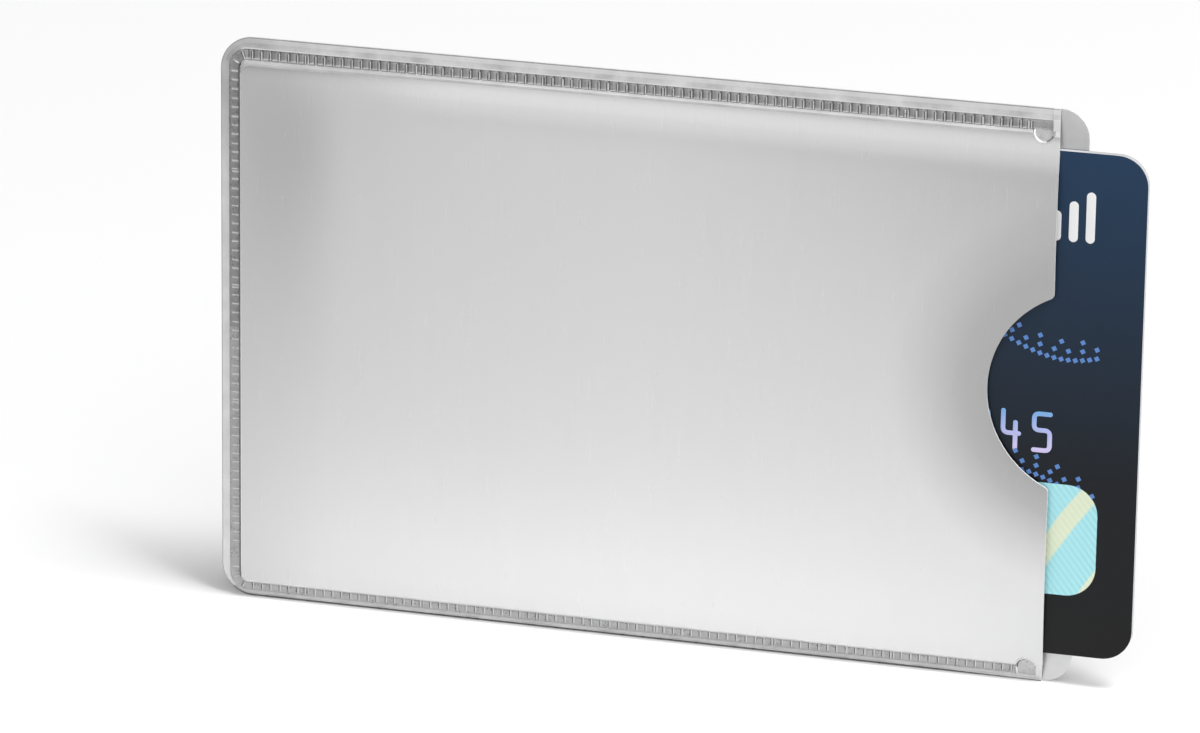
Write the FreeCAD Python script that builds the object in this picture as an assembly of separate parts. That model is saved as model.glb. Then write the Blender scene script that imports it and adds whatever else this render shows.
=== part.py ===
"""A welded card sleeve that shields a contactless card, shown with its card drawn part way out.

The sleeve stands on its long edge as photographed: X runs along it towards the mouth, Z is up and the
front faces -Y. The origin lies at the middle of the rear face. Depths are counted from the rear face
towards the front, so a point at depth d has y = -d. All sizes are in millimetres.
"""

import FreeCAD
import Part
import math
import os

# Card: the standard identification card size
card_length = 85.60
card_height = 53.98
card_thickness = 0.76
card_corner_radius = 3.18
card_overlay = 0.05

# Room for the card in the pocket, and how far the card stands drawn out
card_clearance = 0.08
card_side_play = 1.485
card_end_gap = 0.7
card_drawn_out = 9.75

# Sheets of the sleeve: the mouth lies just past a card pushed home, the rear sheet's lip further out
mouth_past_card = 0.6
mouth_lip = 2.8
end_corner_radius = 3.5
lip_corner_radius = 3.0

# Layers of each laminated sheet, from the outside in
cover_film = 0.10
shield_foil = 0.05
liner_film = 0.09

# Welded edge: margin outside the weld, ladder weld, then the rise to the pocket
top_margin = 1.25
end_margin = 0.9
bottom_margin = 0.5
weld_width = 1.05
weld_rise = 0.35
weld_from_mouth = 0.8
weld_corner_radius = 1.0
pocket_corner_radius = 0.75
weld_floor = 0.09
ridge_height = 0.11
ridge_width = 0.24
ridge_pitch = 0.98

# Spot welds that end the seam at the mouth, centred on the weld's inner edge, the upper one further in
spot_radius = 1.1
spot_floor = 0.12
spot_crown = 0.14
spot_from_mouth = 1.75
spot_top_inset = 0.1
spot_gap = 0.02

# Thumb notch in the front sheet
notch_radius = 11.2
notch_depth = 6.7
notch_above_middle = 0.9
notch_lip_radius = 0.6

# Chip module, placed where the standard puts the contacts
module_length = 13.0
module_height = 11.8
module_corner_radius = 2.0
module_plate = 0.15
module_from_left = 15.1
module_from_top = 23.9
module_clearance = 0.05
chip_length = 8.0
chip_height = 7.4
chip_thickness = 0.38
contact_line = 0.22
contact_line_depth = 0.03
contact_field = 4.4

# Antenna: a flat spiral let into the front of the inlay, its inner turn clear of the chip module
antenna_width = 0.40
antenna_gap = 0.50
antenna_thickness = 0.06
antenna_turns = 5
antenna_clearance = 1.4

# Magnetic stripe, flush in the rear overlay
stripe_height = 12.7
stripe_from_top = 4.6
stripe_thickness = 0.02

# Security patch stamped on the front of the card
patch_length = 18.5
patch_height = 12.0
patch_corner_radius = 3.2
patch_thickness = 0.02
patch_from_right = 4.0
patch_from_bottom = 6.5

# How far a cutter reaches past what it cuts
overrun = 2.0

# Places worked out from the sizes above
sheet = cover_film + shield_foil + liner_film
pocket = card_thickness + 2 * card_clearance
seam_reach = weld_width + weld_rise
front_length = end_margin + seam_reach + card_end_gap + card_length + mouth_past_card
sleeve_length = front_length + mouth_lip
sleeve_height = bottom_margin + top_margin + 2 * seam_reach + card_height + 2 * card_side_play
end_x = -sleeve_length / 2
lip_x = sleeve_length / 2
mouth_x = end_x + front_length
low_z = -sleeve_height / 2
high_z = sleeve_height / 2
front_depth = sheet + pocket
outer_depth = front_depth + sheet
field_left = end_x + end_margin + seam_reach
field_bottom = low_z + bottom_margin + seam_reach
field_top = high_z - top_margin - seam_reach
card_left = field_left + card_end_gap + card_drawn_out
card_right = card_left + card_length
card_bottom = field_bottom + card_side_play
card_top = card_bottom + card_height
card_rear = sheet + card_clearance
inlay_rear = card_rear + card_overlay
card_front = card_rear + card_thickness
inlay_front = card_front - card_overlay


def at(x, z, depth):
    """A point of the sleeve, by its place on the face and its depth from the rear face."""
    return FreeCAD.Vector(x, -depth, z)


def rounded_wire(corners, depth):
    """A closed wire through (x, z, radius) corners, each rounded by its own radius; 0 leaves it sharp."""
    ends = []
    for i, (x, z, radius) in enumerate(corners):
        here = at(x, z, depth)
        if radius == 0:
            ends.append((here, None, here))
            continue
        back = at(corners[i - 1][0], corners[i - 1][1], depth) - here
        ahead = at(*corners[(i + 1) % len(corners)][:2], depth) - here
        back.normalize()
        ahead.normalize()
        half_turn = back.getAngle(ahead) / 2
        reach = radius / math.tan(half_turn)
        middle = back + ahead
        middle.normalize()
        crown = here + middle * (radius / math.sin(half_turn) - radius)
        ends.append((here + back * reach, crown, here + ahead * reach))
    edges = []
    for i, (start, crown, stop) in enumerate(ends):
        if crown is not None:
            edges.append(Part.Arc(start, crown, stop).toShape())
        following = ends[(i + 1) % len(ends)][0]
        edges.append(Part.LineSegment(stop, following).toShape())
    return Part.Wire(edges)


def box_corners(left, right, bottom, top, end_radius=0, mouth_radius=0):
    """Corners of an upright rectangle whose left pair and right pair have their own radii."""
    return [
        (left, bottom, end_radius),
        (right, bottom, mouth_radius),
        (right, top, mouth_radius),
        (left, top, end_radius),
    ]


def plate(corners, depth, thickness):
    """A flat layer with that outline, from a depth towards the front."""
    return Part.Face(rounded_wire(corners, depth)).extrude(at(0, 0, thickness))


def block(left, right, bottom, top, depth, thickness):
    """A plain rectangular layer."""
    return plate(box_corners(left, right, bottom, top), depth, thickness)


def round_plate(x, z, radius, depth, thickness):
    """A flat disc."""
    return Part.makeCylinder(radius, thickness, at(x, z, depth), at(0, 0, 1))


def joined(shapes):
    """One solid from pieces that touch or overlap."""
    return shapes[0].fuse(shapes[1:]).removeSplitter()


def notch_cutter():
    """The thumb notch through the front sheet: one large arc, eased into the straight mouth edge."""
    centre_x = mouth_x - notch_depth + notch_radius
    centre_z = notch_above_middle
    ease_x = mouth_x - notch_lip_radius
    ease_rise = math.sqrt((notch_radius + notch_lip_radius) ** 2 - (centre_x - ease_x) ** 2)
    depth = front_depth - overrun
    lean = math.atan2(ease_rise, centre_x - ease_x)

    def ease(side):
        """Tangent point on the arc, crown and tangent point on the mouth edge of one eased lip."""
        meet = at(
            centre_x - notch_radius * math.cos(lean),
            centre_z + side * notch_radius * math.sin(lean),
            depth,
        )
        crown = at(
            ease_x + notch_lip_radius * math.cos(lean / 2),
            centre_z + side * (ease_rise - notch_lip_radius * math.sin(lean / 2)),
            depth,
        )
        return meet, crown, at(mouth_x, centre_z + side * ease_rise, depth)

    top_meet, top_crown, top_end = ease(1)
    low_meet, low_crown, low_end = ease(-1)
    past = at(overrun, 0, 0)
    deepest = at(mouth_x - notch_depth, centre_z, depth)
    edges = [
        Part.Arc(top_end, top_crown, top_meet),
        Part.Arc(top_meet, deepest, low_meet),
        Part.Arc(low_meet, low_crown, low_end),
        Part.LineSegment(low_end, low_end + past),
        Part.LineSegment(low_end + past, top_end + past),
        Part.LineSegment(top_end + past, top_end),
    ]
    wire = Part.Wire([edge.toShape() for edge in edges])
    return Part.Face(wire).extrude(at(0, 0, sheet + 2 * overrun))


def spot_places():
    """Name, x and z of the spot weld at each end of the mouth."""
    x = mouth_x - spot_from_mouth
    return [
        ("spot_weld_top", x, high_z - top_margin - weld_width - spot_top_inset),
        ("spot_weld_bottom", x, low_z + bottom_margin + weld_width),
    ]


def spot_holes():
    """Holes through the front sheet that the spot welds lie in."""
    through = outer_depth + overrun
    return [round_plate(x, z, spot_radius + spot_gap, 0, through) for _, x, z in spot_places()]


def back_sheet():
    """The three layers of the rear sheet, with the lip that the mouth leaves bare."""
    corners = box_corners(end_x, lip_x, low_z, high_z, end_corner_radius, lip_corner_radius)
    return {
        "back_cover_film": plate(corners, 0, cover_film),
        "back_shield_foil": plate(corners, cover_film, shield_foil),
        "back_liner_film": plate(corners, cover_film + shield_foil, liner_film),
    }


def front_field():
    """The three layers of the front sheet over the pocket, cut straight at the mouth and notched."""
    corners = box_corners(field_left, mouth_x, field_bottom, field_top, pocket_corner_radius)
    cuts = [notch_cutter()] + spot_holes()
    layers = {
        "front_liner_film": (front_depth, liner_film),
        "front_shield_foil": (front_depth + liner_film, shield_foil),
        "front_cover_film": (front_depth + liner_film + shield_foil, cover_film),
    }
    return {name: plate(corners, depth, thick).cut(cuts) for name, (depth, thick) in layers.items()}


def seam_corners(inset, radius, stop_x=mouth_x + overrun):
    """Outline at a distance inside the weld's outer edge, out past the mouth unless it stops sooner."""
    return box_corners(
        end_x + end_margin + inset,
        stop_x,
        low_z + bottom_margin + inset,
        high_z - top_margin - inset,
        radius,
    )


def welded_edge():
    """The fused edge of the front sheet on three sides: margin, weld floor and the rise to the pocket."""
    outside = box_corners(end_x, mouth_x, low_z, high_z, end_corner_radius)
    weld_outer = seam_corners(0, weld_corner_radius + weld_width, mouth_x - weld_from_mouth)
    weld_inner = seam_corners(weld_width, weld_corner_radius)
    field = seam_corners(seam_reach, pocket_corner_radius)
    through = sheet + 2 * overrun
    inner_cut = plate(weld_inner, sheet - overrun, through)
    margin = plate(outside, sheet, sheet).cut([plate(weld_outer, sheet - overrun, through), inner_cut])
    floor = plate(weld_outer, sheet, weld_floor).cut(inner_cut)
    under = Part.makeLoft([rounded_wire(weld_inner, sheet), rounded_wire(field, front_depth)], True, True)
    over = Part.makeLoft([rounded_wire(weld_inner, 2 * sheet), rounded_wire(field, outer_depth)], True, True)
    rise = plate(weld_inner, sheet, sheet).fuse(over).cut(under)
    rise = rise.cut(plate(field, sheet, pocket + sheet + overrun))
    far = outer_depth + overrun
    inside = block(end_x - overrun, mouth_x, low_z - overrun, high_z + overrun, 0, far)
    return [piece.common(inside) for piece in (margin, floor, rise)]


def ridge_row(start, stop):
    """Even places for the ridges between two ends, as near to the pitch as fits."""
    count = max(1, round((stop - start) / ridge_pitch))
    step = (stop - start) / count
    return [start + (i + 0.5) * step for i in range(count)]


def lengthwise_ridges(bottom, start, stop):
    """The ladder's ridges across a weld that runs along X, with its lower edge at that height."""
    half = ridge_width / 2
    return [
        block(x - half, x + half, bottom, bottom + weld_width, sheet, weld_floor + ridge_height)
        for x in ridge_row(start, stop)
    ]


def upright_ridges():
    """The ladder's ridges across the weld at the closed end, between its corners."""
    half = ridge_width / 2
    left = end_x + end_margin
    corner = weld_corner_radius + weld_width
    return [
        block(left, left + weld_width, z - half, z + half, sheet, weld_floor + ridge_height)
        for z in ridge_row(low_z + bottom_margin + corner, high_z - top_margin - corner)
    ]


def corner_ridges(centre_z, side):
    """The ladder's ridges that fan round one corner of the weld."""
    corner = weld_corner_radius + weld_width
    centre_x = end_x + end_margin + corner
    sweep = math.radians(90)
    middle = weld_corner_radius + weld_width / 2
    half = ridge_width / 2
    ridges = []
    for along in ridge_row(0, sweep * middle):
        bar = block(
            centre_x - corner,
            centre_x - weld_corner_radius,
            centre_z - half,
            centre_z + half,
            sheet,
            weld_floor + ridge_height,
        )
        turn = math.degrees(along / middle) * side
        ridges.append(bar.rotated(at(centre_x, centre_z, 0), FreeCAD.Vector(0, 1, 0), turn))
    return ridges


def seam():
    """The welded edge as three lengths that meet beside the corners, with their ladder of ridges."""
    edge = welded_edge()
    corner = weld_corner_radius + weld_width
    split_x = end_x + end_margin + corner
    far = outer_depth + overrun
    ladder_end = mouth_x - spot_from_mouth - spot_radius
    top_weld = high_z - top_margin - weld_width
    sides = {
        "weld_seam_top": (
            block(split_x, lip_x, 0, high_z + overrun, 0, far),
            lengthwise_ridges(top_weld, split_x, ladder_end),
        ),
        "weld_seam_end": (
            block(end_x - overrun, split_x, low_z - overrun, high_z + overrun, 0, far),
            upright_ridges()
            + corner_ridges(high_z - top_margin - corner, 1)
            + corner_ridges(low_z + bottom_margin + corner, -1),
        ),
        "weld_seam_bottom": (
            block(split_x, lip_x, low_z - overrun, 0, 0, far),
            lengthwise_ridges(low_z + bottom_margin, split_x, ladder_end),
        ),
    }
    lengths = {}
    for name, (region, ridges) in sides.items():
        pieces = [piece.common(region) for piece in edge]
        lengths[name] = joined(pieces + ridges).cut(spot_holes())
    return lengths


def spot_welds():
    """Round welds that close the ends of the seam: a pressed disc with a low crown."""
    spots = {}
    for name, x, z in spot_places():
        crown_radius = (spot_radius**2 + spot_crown**2) / (2 * spot_crown)
        ball = Part.makeSphere(crown_radius, at(x, z, sheet + spot_floor + spot_crown - crown_radius))
        disc = round_plate(x, z, spot_radius, sheet, spot_floor + spot_crown)
        spots[name] = disc.common(ball.fuse(round_plate(x, z, spot_radius, sheet, spot_floor)))
    return spots


def card_outline():
    """Outline of the card where it stands in the sleeve."""
    return box_corners(
        card_left, card_right, card_bottom, card_top, card_corner_radius, card_corner_radius
    )


def module_corners(length, height, radius, clearance=0):
    """Outline of a rectangle centred on the chip module, grown by a clearance."""
    x = card_left + module_from_left
    z = card_top - module_from_top
    half_length = length / 2 + clearance
    half_height = height / 2 + clearance
    return box_corners(
        x - half_length, x + half_length, z - half_height, z + half_height, radius, radius
    )


def chip_module(clearance=0):
    """The contact plate with the potted chip behind it; a clearance makes the pocket that takes it."""
    contacts = plate(
        module_corners(module_length, module_height, module_corner_radius, clearance),
        card_front - module_plate,
        module_plate,
    )
    potting = plate(
        module_corners(chip_length, chip_height, module_corner_radius, clearance),
        card_front - module_plate - chip_thickness,
        chip_thickness,
    )
    return contacts.fuse(potting).removeSplitter()


def contact_lines():
    """The grooves that part the plate into two columns of contacts beside a middle field."""
    x = card_left + module_from_left
    z = card_top - module_from_top
    half = contact_line / 2
    depth = card_front - contact_line_depth
    left = x - module_length / 2
    right = x + module_length / 2
    field = contact_field / 2
    row = module_height / 4
    thick = contact_line_depth + overrun
    lines = [
        block(side - half, side + half, z - 2 * row, z + 2 * row, depth, thick)
        for side in (x - field, x + field)
    ]
    for level in (z - row, z, z + row):
        lines.append(block(left, x - field, level - half, level + half, depth, thick))
        lines.append(block(x + field, right, level - half, level + half, depth, thick))
    return lines


def antenna():
    """One flat conductor that winds inwards round the card in straight runs."""
    pitch = antenna_width + antenna_gap
    inner = module_from_left - module_length / 2 - antenna_clearance - antenna_width / 2
    inset = inner - (antenna_turns - 1) * pitch
    left = card_left + inset
    right = card_right - inset
    bottom = card_bottom + inset
    top = card_top - inset
    path = [(left, bottom)]
    for turn in range(antenna_turns):
        step = turn * pitch
        path.append((right - step, bottom + step))
        path.append((right - step, top - step))
        path.append((left + step, top - step))
        path.append((left + step, bottom + step + pitch))
    half = antenna_width / 2
    runs = []
    for (x0, z0), (x1, z1) in zip(path, path[1:]):
        low_x, high_x = sorted((x0, x1))
        low_z, high_z = sorted((z0, z1))
        runs.append(
            block(
                low_x - half,
                high_x + half,
                low_z - half,
                high_z + half,
                inlay_front - antenna_thickness,
                antenna_thickness,
            )
        )
    return joined(runs)


def stripe_band():
    """The magnetic stripe across the whole rear face, clipped to the card's outline."""
    return plate(card_outline(), card_rear, stripe_thickness).common(
        block(
            card_left,
            card_right,
            card_top - stripe_from_top - stripe_height,
            card_top - stripe_from_top,
            card_rear,
            stripe_thickness,
        )
    )


def card():
    """The card's layers and what is let into them."""
    outline = card_outline()
    pocket_for_module = chip_module(module_clearance)
    coil = antenna()
    stripe = stripe_band()
    inlay = plate(outline, inlay_rear, inlay_front - inlay_rear)
    patch_right = card_right - patch_from_right
    patch_bottom = card_bottom + patch_from_bottom
    patch = box_corners(
        patch_right - patch_length,
        patch_right,
        patch_bottom,
        patch_bottom + patch_height,
        patch_corner_radius,
        patch_corner_radius,
    )
    return {
        "card_back_overlay": plate(outline, card_rear, card_overlay).cut(stripe),
        "card_magnetic_stripe": stripe,
        "card_inlay": inlay.cut([pocket_for_module, coil]),
        "card_antenna": coil,
        "card_chip_module": chip_module().cut(contact_lines()),
        "card_front_overlay": plate(outline, inlay_front, card_overlay).cut(pocket_for_module),
        "card_security_patch": plate(patch, card_front, patch_thickness),
    }


def main():
    os.makedirs("parts", exist_ok=True)
    nodes = {**back_sheet(), **front_field(), **seam(), **spot_welds(), **card()}
    for name, shape in nodes.items():
        shape.exportStep(f"parts/{name}.step")
        print(name, len(shape.Solids), "solid", round(shape.Volume, 2), "mm3", "valid", shape.isValid())


main()
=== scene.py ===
"""The looks of a welded card sleeve with its card drawn part way out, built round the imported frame.

Places are written in millimetres as x along the sleeve to its mouth, z up, and depth from the rear face
towards the front, so that a point at depth d lies at y = -d. They become metres where a mesh is made.
"""

import math

import bmesh
import bpy
import numpy as np
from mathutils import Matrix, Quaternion, Vector, noise


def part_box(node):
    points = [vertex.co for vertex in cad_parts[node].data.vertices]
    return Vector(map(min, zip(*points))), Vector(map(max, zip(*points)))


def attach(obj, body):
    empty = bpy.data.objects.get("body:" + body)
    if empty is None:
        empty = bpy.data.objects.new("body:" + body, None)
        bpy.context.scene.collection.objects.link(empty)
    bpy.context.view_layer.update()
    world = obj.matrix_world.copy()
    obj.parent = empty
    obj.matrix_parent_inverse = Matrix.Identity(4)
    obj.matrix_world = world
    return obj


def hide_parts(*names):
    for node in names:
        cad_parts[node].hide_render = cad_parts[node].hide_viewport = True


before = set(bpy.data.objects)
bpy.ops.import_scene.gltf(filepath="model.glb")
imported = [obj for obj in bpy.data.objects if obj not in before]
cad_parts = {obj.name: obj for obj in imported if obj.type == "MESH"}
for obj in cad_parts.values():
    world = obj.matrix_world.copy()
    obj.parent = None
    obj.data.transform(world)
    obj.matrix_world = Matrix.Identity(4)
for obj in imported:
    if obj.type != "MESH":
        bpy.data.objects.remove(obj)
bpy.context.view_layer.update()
MM = 0.001


def span(node, axis):
    """Lowest and highest value of a node of the frame along one axis, in millimetres."""
    low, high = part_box(node)
    return low[axis] / MM, high[axis] / MM


# Outlines and depths read from the frame
END_X, LIP_X = span("back_cover_film", 0)
LOW_Z, HIGH_Z = span("back_cover_film", 2)
FIELD_LEFT, MOUTH_X = span("front_cover_film", 0)
FIELD_LOW, FIELD_HIGH = span("front_cover_film", 2)
SHEET = -span("back_liner_film", 1)[0]
OUTER = -span("front_cover_film", 1)[0]
CARD_LEFT, CARD_RIGHT = span("card_inlay", 0)
CARD_LOW, CARD_HIGH = span("card_inlay", 2)
CARD_FACE = -span("card_front_overlay", 1)[0]
CHIP_LEFT, CHIP_RIGHT = span("card_chip_module", 0)
CHIP_LOW, CHIP_HIGH = span("card_chip_module", 2)

# Seam: margin outside the weld, ladder weld, then the shoulder that rises to the pocket
END_CORNER = 3.5
LIP_CORNER = 3.0
WELD_WIDTH = 1.05
WELD_RISE = 0.35
WELD_CORNER = 1.0
POCKET_CORNER = 1.05
WELD_STOP = 0.8
RIDGE_HEIGHT = 0.14
RIDGE_PITCH = 0.98
SHOULDER = 0.5
SEAM_REACH = WELD_WIDTH + WELD_RISE
END_MARGIN = FIELD_LEFT - END_X - SEAM_REACH
LOW_MARGIN = FIELD_LOW - LOW_Z - SEAM_REACH
TOP_MARGIN = HIGH_Z - FIELD_HIGH - SEAM_REACH
WELD_LEFT = END_X + END_MARGIN
WELD_LOW = LOW_Z + LOW_MARGIN
WELD_HIGH = HIGH_Z - TOP_MARGIN

# Thumb notch
NOTCH_RADIUS = 11.2
NOTCH_DEPTH = 6.7
NOTCH_Z = 0.9
NOTCH_LIP = 0.6
NOTCH_X = MOUTH_X - NOTCH_DEPTH + NOTCH_RADIUS
LIP_CENTRE_X = MOUTH_X - NOTCH_LIP
LIP_CENTRE_RISE = math.sqrt((NOTCH_RADIUS + NOTCH_LIP) ** 2 - (NOTCH_X - LIP_CENTRE_X) ** 2)
LIP_MEET_RISE = LIP_CENTRE_RISE * NOTCH_RADIUS / (NOTCH_RADIUS + NOTCH_LIP)

# Spot welds, as (x, z, radius)
SPOTS = {}
for spot_name in ("spot_weld_top", "spot_weld_bottom"):
    spot_left, spot_right = span(spot_name, 0)
    spot_low, spot_high = span(spot_name, 2)
    spot_centre = ((spot_left + spot_right) / 2, (spot_low + spot_high) / 2)
    SPOTS[spot_name] = (*spot_centre, (spot_right - spot_left) / 2)
LADDER_END = SPOTS["spot_weld_top"][0] - SPOTS["spot_weld_top"][2]


# Mesh helpers


def to_metres(points):
    """Rows of (x, z, depth) as rows of (x, y, z) in metres."""
    points = np.asarray(points, float)
    return np.column_stack((points[:, 0], -points[:, 2], points[:, 1])) * MM


def smooth_step(low, high, value):
    """0 below low, 1 above high and an even curve between."""
    share = np.clip((value - low) / (high - low), 0, 1)
    return share * share * (3 - 2 * share)


def grid_faces(index):
    """Quads over a table of point numbers."""
    corners = (index[:-1, :-1], index[:-1, 1:], index[1:, 1:], index[1:, :-1])
    return np.stack([c.ravel() for c in corners], axis=1).tolist()


def point_table(rows, start=0):
    """Point numbers over a table of points, counted on from a start."""
    return start + np.arange(rows.shape[0] * rows.shape[1]).reshape(rows.shape[:2])


def noise_at(x, z, length, seed):
    """Smooth noise over a sheet, with waves of about one length."""
    return noise.noise(Vector((x / length, z / length, seed)))


def levels(*spans):
    """Rising values over joined (start, stop, step) spans, each divided evenly."""
    values = []
    for start, stop, step in spans:
        count = max(1, round((stop - start) / step))
        values.extend(np.linspace(start, stop, count, endpoint=False))
    values.append(spans[-1][1])
    return np.array(values)


def add_piece(name, mesh, materials, body, replaced=(), sharp_angle=40):
    """A finished mesh as a piece that rides on a body and takes the place of CAD nodes."""
    for material in materials:
        mesh.materials.append(material)
    mesh.shade_smooth()
    mesh.set_sharp_from_angle(angle=math.radians(sharp_angle))
    piece = bpy.data.objects.new(name, mesh)
    bpy.context.scene.collection.objects.link(piece)
    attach(piece, body)
    if replaced:
        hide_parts(*replaced)
    return piece


SAME_POINT = 1e-8


def closed_sheet(name, points, faces, rear_depth, rear_material=0, rim_material=0, face_materials=None):
    """A closed mesh from an open front surface, its rear copy and the rim between the two."""
    mesh = bpy.data.meshes.new(name)
    made = bmesh.new()
    front = [made.verts.new(p) for p in to_metres(points)]
    for number, face in enumerate(faces):
        outer = made.faces.new([front[i] for i in face])
        outer.material_index = face_materials[number] if face_materials else 0
    bmesh.ops.remove_doubles(made, verts=made.verts, dist=SAME_POINT)
    skin = list(made.faces)
    border = [edge for edge in made.edges if edge.is_boundary]
    rear = {}
    for vert in list(made.verts):
        x, y, z = vert.co / MM
        rear[vert] = made.verts.new((x * MM, -rear_depth(x, z, -y) * MM, z * MM))
    for face in skin:
        copy = made.faces.new([rear[v] for v in reversed(face.verts)])
        copy.material_index = rear_material
    for edge in border:
        a, b = edge.verts
        made.faces.new((a, b, rear[b], rear[a])).material_index = rim_material
    bmesh.ops.recalc_face_normals(made, faces=made.faces)
    made.to_mesh(mesh)
    made.free()
    return mesh


def table_sheet(name, rows, rear_depth, **materials):
    """A closed mesh whose front surface is a table of points."""
    return closed_sheet(name, rows.reshape(-1, 3), grid_faces(point_table(rows)), rear_depth, **materials)


# Outlines of the front sheet

ARC_STEPS = 24
CORNER_EASE = 0.2
CORNER_X = END_X + END_CORNER + CORNER_EASE
CORNER_LOW = LOW_Z + END_CORNER + CORNER_EASE
CORNER_HIGH = HIGH_Z - END_CORNER - CORNER_EASE
WIDE_STEP = 1.0
SPOT_NEAR, SPOT_CLOSE = 1.0, 0.3
SPOT_STEP, STRIP_STEP = 0.13, 0.06
LIP_CLEAR = 0.5
LIP_STEP, NOTCH_STEP = 0.07, 0.45
TOP_REACH, TOP_STEP = 1.0, 0.12
COLUMNS = levels(
    (CORNER_X, LADDER_END - SPOT_NEAR, WIDE_STEP),
    (LADDER_END - SPOT_NEAR, LADDER_END - SPOT_CLOSE, SPOT_STEP),
    (LADDER_END - SPOT_CLOSE, MOUTH_X, STRIP_STEP),
)
ROWS = levels(
    (CORNER_LOW, NOTCH_Z - LIP_CENTRE_RISE - LIP_CLEAR, WIDE_STEP),
    (NOTCH_Z - LIP_CENTRE_RISE - LIP_CLEAR, NOTCH_Z - LIP_MEET_RISE + LIP_CLEAR, LIP_STEP),
    (NOTCH_Z - LIP_MEET_RISE + LIP_CLEAR, NOTCH_Z + LIP_MEET_RISE - LIP_CLEAR, NOTCH_STEP),
    (NOTCH_Z + LIP_MEET_RISE - LIP_CLEAR, NOTCH_Z + LIP_CENTRE_RISE + LIP_CLEAR, LIP_STEP),
    (NOTCH_Z + LIP_CENTRE_RISE + LIP_CLEAR, CORNER_HIGH - TOP_REACH, WIDE_STEP),
    (CORNER_HIGH - TOP_REACH, CORNER_HIGH, TOP_STEP),
)


def corner_points(left, edge_z, radius, corner_z):
    """Points from the lengthwise edge round a corner to the closed end, spaced evenly along the path."""
    side = math.copysign(1, corner_z - edge_z)
    run_x = CORNER_X - left - radius
    arc = radius * math.pi / 2
    run_z = abs(corner_z - edge_z) - radius
    points = []
    for along in np.linspace(0, run_x + arc + run_z, ARC_STEPS + 1):
        turn = min(max(along - run_x, 0), arc) / radius
        x = CORNER_X - min(along, run_x) - radius * math.sin(turn)
        rise = radius * (1 - math.cos(turn)) + max(0, along - run_x - arc)
        points.append((x, edge_z + side * rise))
    return points


def u_outline(left, low, high, radius):
    """The open outline from the mouth along the lower edge, round the closed end and back along the top."""
    points = [(x, low) for x in COLUMNS[::-1]]
    points += corner_points(left, low, radius, CORNER_LOW)[1:]
    points += [(left, z) for z in ROWS[1:]]
    points += corner_points(left, high, radius, CORNER_HIGH)[-2::-1]
    points += [(x, high) for x in COLUMNS[1:]]
    return np.array(points)


def mouth_edge(z):
    """The x of the mouth edge at a height, with the thumb notch and its eased lips."""
    rise = abs(z - NOTCH_Z)
    if rise >= LIP_CENTRE_RISE:
        return MOUTH_X
    if rise <= LIP_MEET_RISE:
        return NOTCH_X - math.sqrt(NOTCH_RADIUS**2 - rise**2)
    return LIP_CENTRE_X + math.sqrt(NOTCH_LIP**2 - (rise - LIP_CENTRE_RISE) ** 2)


# Front sheet

CROWN = 0.55
CROWN_POWER = 4.5
CROWN_EDGE_SHARE = 0.13
TOP_ROLL = 0.55
TOP_ROLL_REACH = 5.0
TOP_ROLL_FROM = 0.06
TOP_ROLL_TO = 0.28
NOTCH_CURL = 0.3
NOTCH_CURL_REACH = 9.0
RIPPLE = 0.035
RIPPLE_LENGTH = 21.0
RIPPLE_STRETCH = 0.6
RIPPLE_SEED = 3.7
RIPPLE_RISE = 8
CRATER_FLOOR = 0.34
SPOT_RIM = 1.12
SHOULDER_FOOT = 0.30
SHOULDER_ROWS = 11
FOOT_ROWS = 3
ROLL_ROW = 7
STRIP_EASE = 0.6
STRIP_FADE = 0.12
STRIP_DRAW = 0.27
NOTCH_PULL = 4
# Shoulder marks: the dark end wall, rolled band and low wall are painted shade; the lighter plain wall and
# foot paint the top's highlight.
SHEET_FIELD, SHEET_RIM, END_WALL, PLAIN_WALL, ROLLED_WALL, WALL_FOOT, LOW_WALL = range(7)


def film_depth(x, z):
    """Depth of the front sheet's outer face: crowned by the card, rolled at the top, curled at the notch."""
    along = (x - FIELD_LEFT) / (MOUTH_X - FIELD_LEFT)
    up = np.clip((z - FIELD_LOW) / (FIELD_HIGH - FIELD_LOW), 0, 1)
    crown = (1 - abs(2 * up - 1) ** CROWN_POWER) * smooth_step(0, CROWN_EDGE_SHARE, along)
    ripple = noise.noise(Vector((x / RIPPLE_LENGTH, z / RIPPLE_LENGTH * RIPPLE_STRETCH, RIPPLE_SEED)))
    ripple *= min(1, RIPPLE_RISE * up * (1 - up))
    roll = TOP_ROLL * max(0, 1 - (FIELD_HIGH - z) / TOP_ROLL_REACH) ** 2
    roll *= smooth_step(TOP_ROLL_FROM, TOP_ROLL_TO, along)
    from_notch = max(0, math.hypot(x - NOTCH_X, z - NOTCH_Z) - NOTCH_RADIUS)
    curl = NOTCH_CURL * max(0, 1 - from_notch / NOTCH_CURL_REACH) ** 2
    return OUTER + CROWN * crown + RIPPLE * ripple - roll - curl


def strip_share(x):
    """1 on the strip beside the mouth that the weld leaves out, 0 along the weld."""
    return smooth_step(MOUTH_X - WELD_STOP - STRIP_FADE, MOUTH_X - WELD_STOP + STRIP_FADE, x)


def unwelded(x, z, depth):
    """The depth with the strip beside the mouth left as it lies, sloping from the field to the edge."""
    edge = HIGH_Z - z if z > 0 else z - LOW_Z
    reach = HIGH_Z - FIELD_HIGH if z > 0 else FIELD_LOW - LOW_Z
    if edge > reach + STRIP_EASE:
        return depth
    field_z = math.copysign(max(HIGH_Z, -LOW_Z) - reach - STRIP_EASE, z)
    slope = 2 * SHEET + (film_depth(x, field_z) - 2 * SHEET) * edge / (reach + STRIP_EASE)
    return depth + (slope - depth) * strip_share(x)


def drawn_in(x, depth):
    """The x of a point of the seam, drawn in on the strip where the sheet slopes down to the edge."""
    return x - STRIP_DRAW * max(0, OUTER - depth) * strip_share(x)


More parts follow.
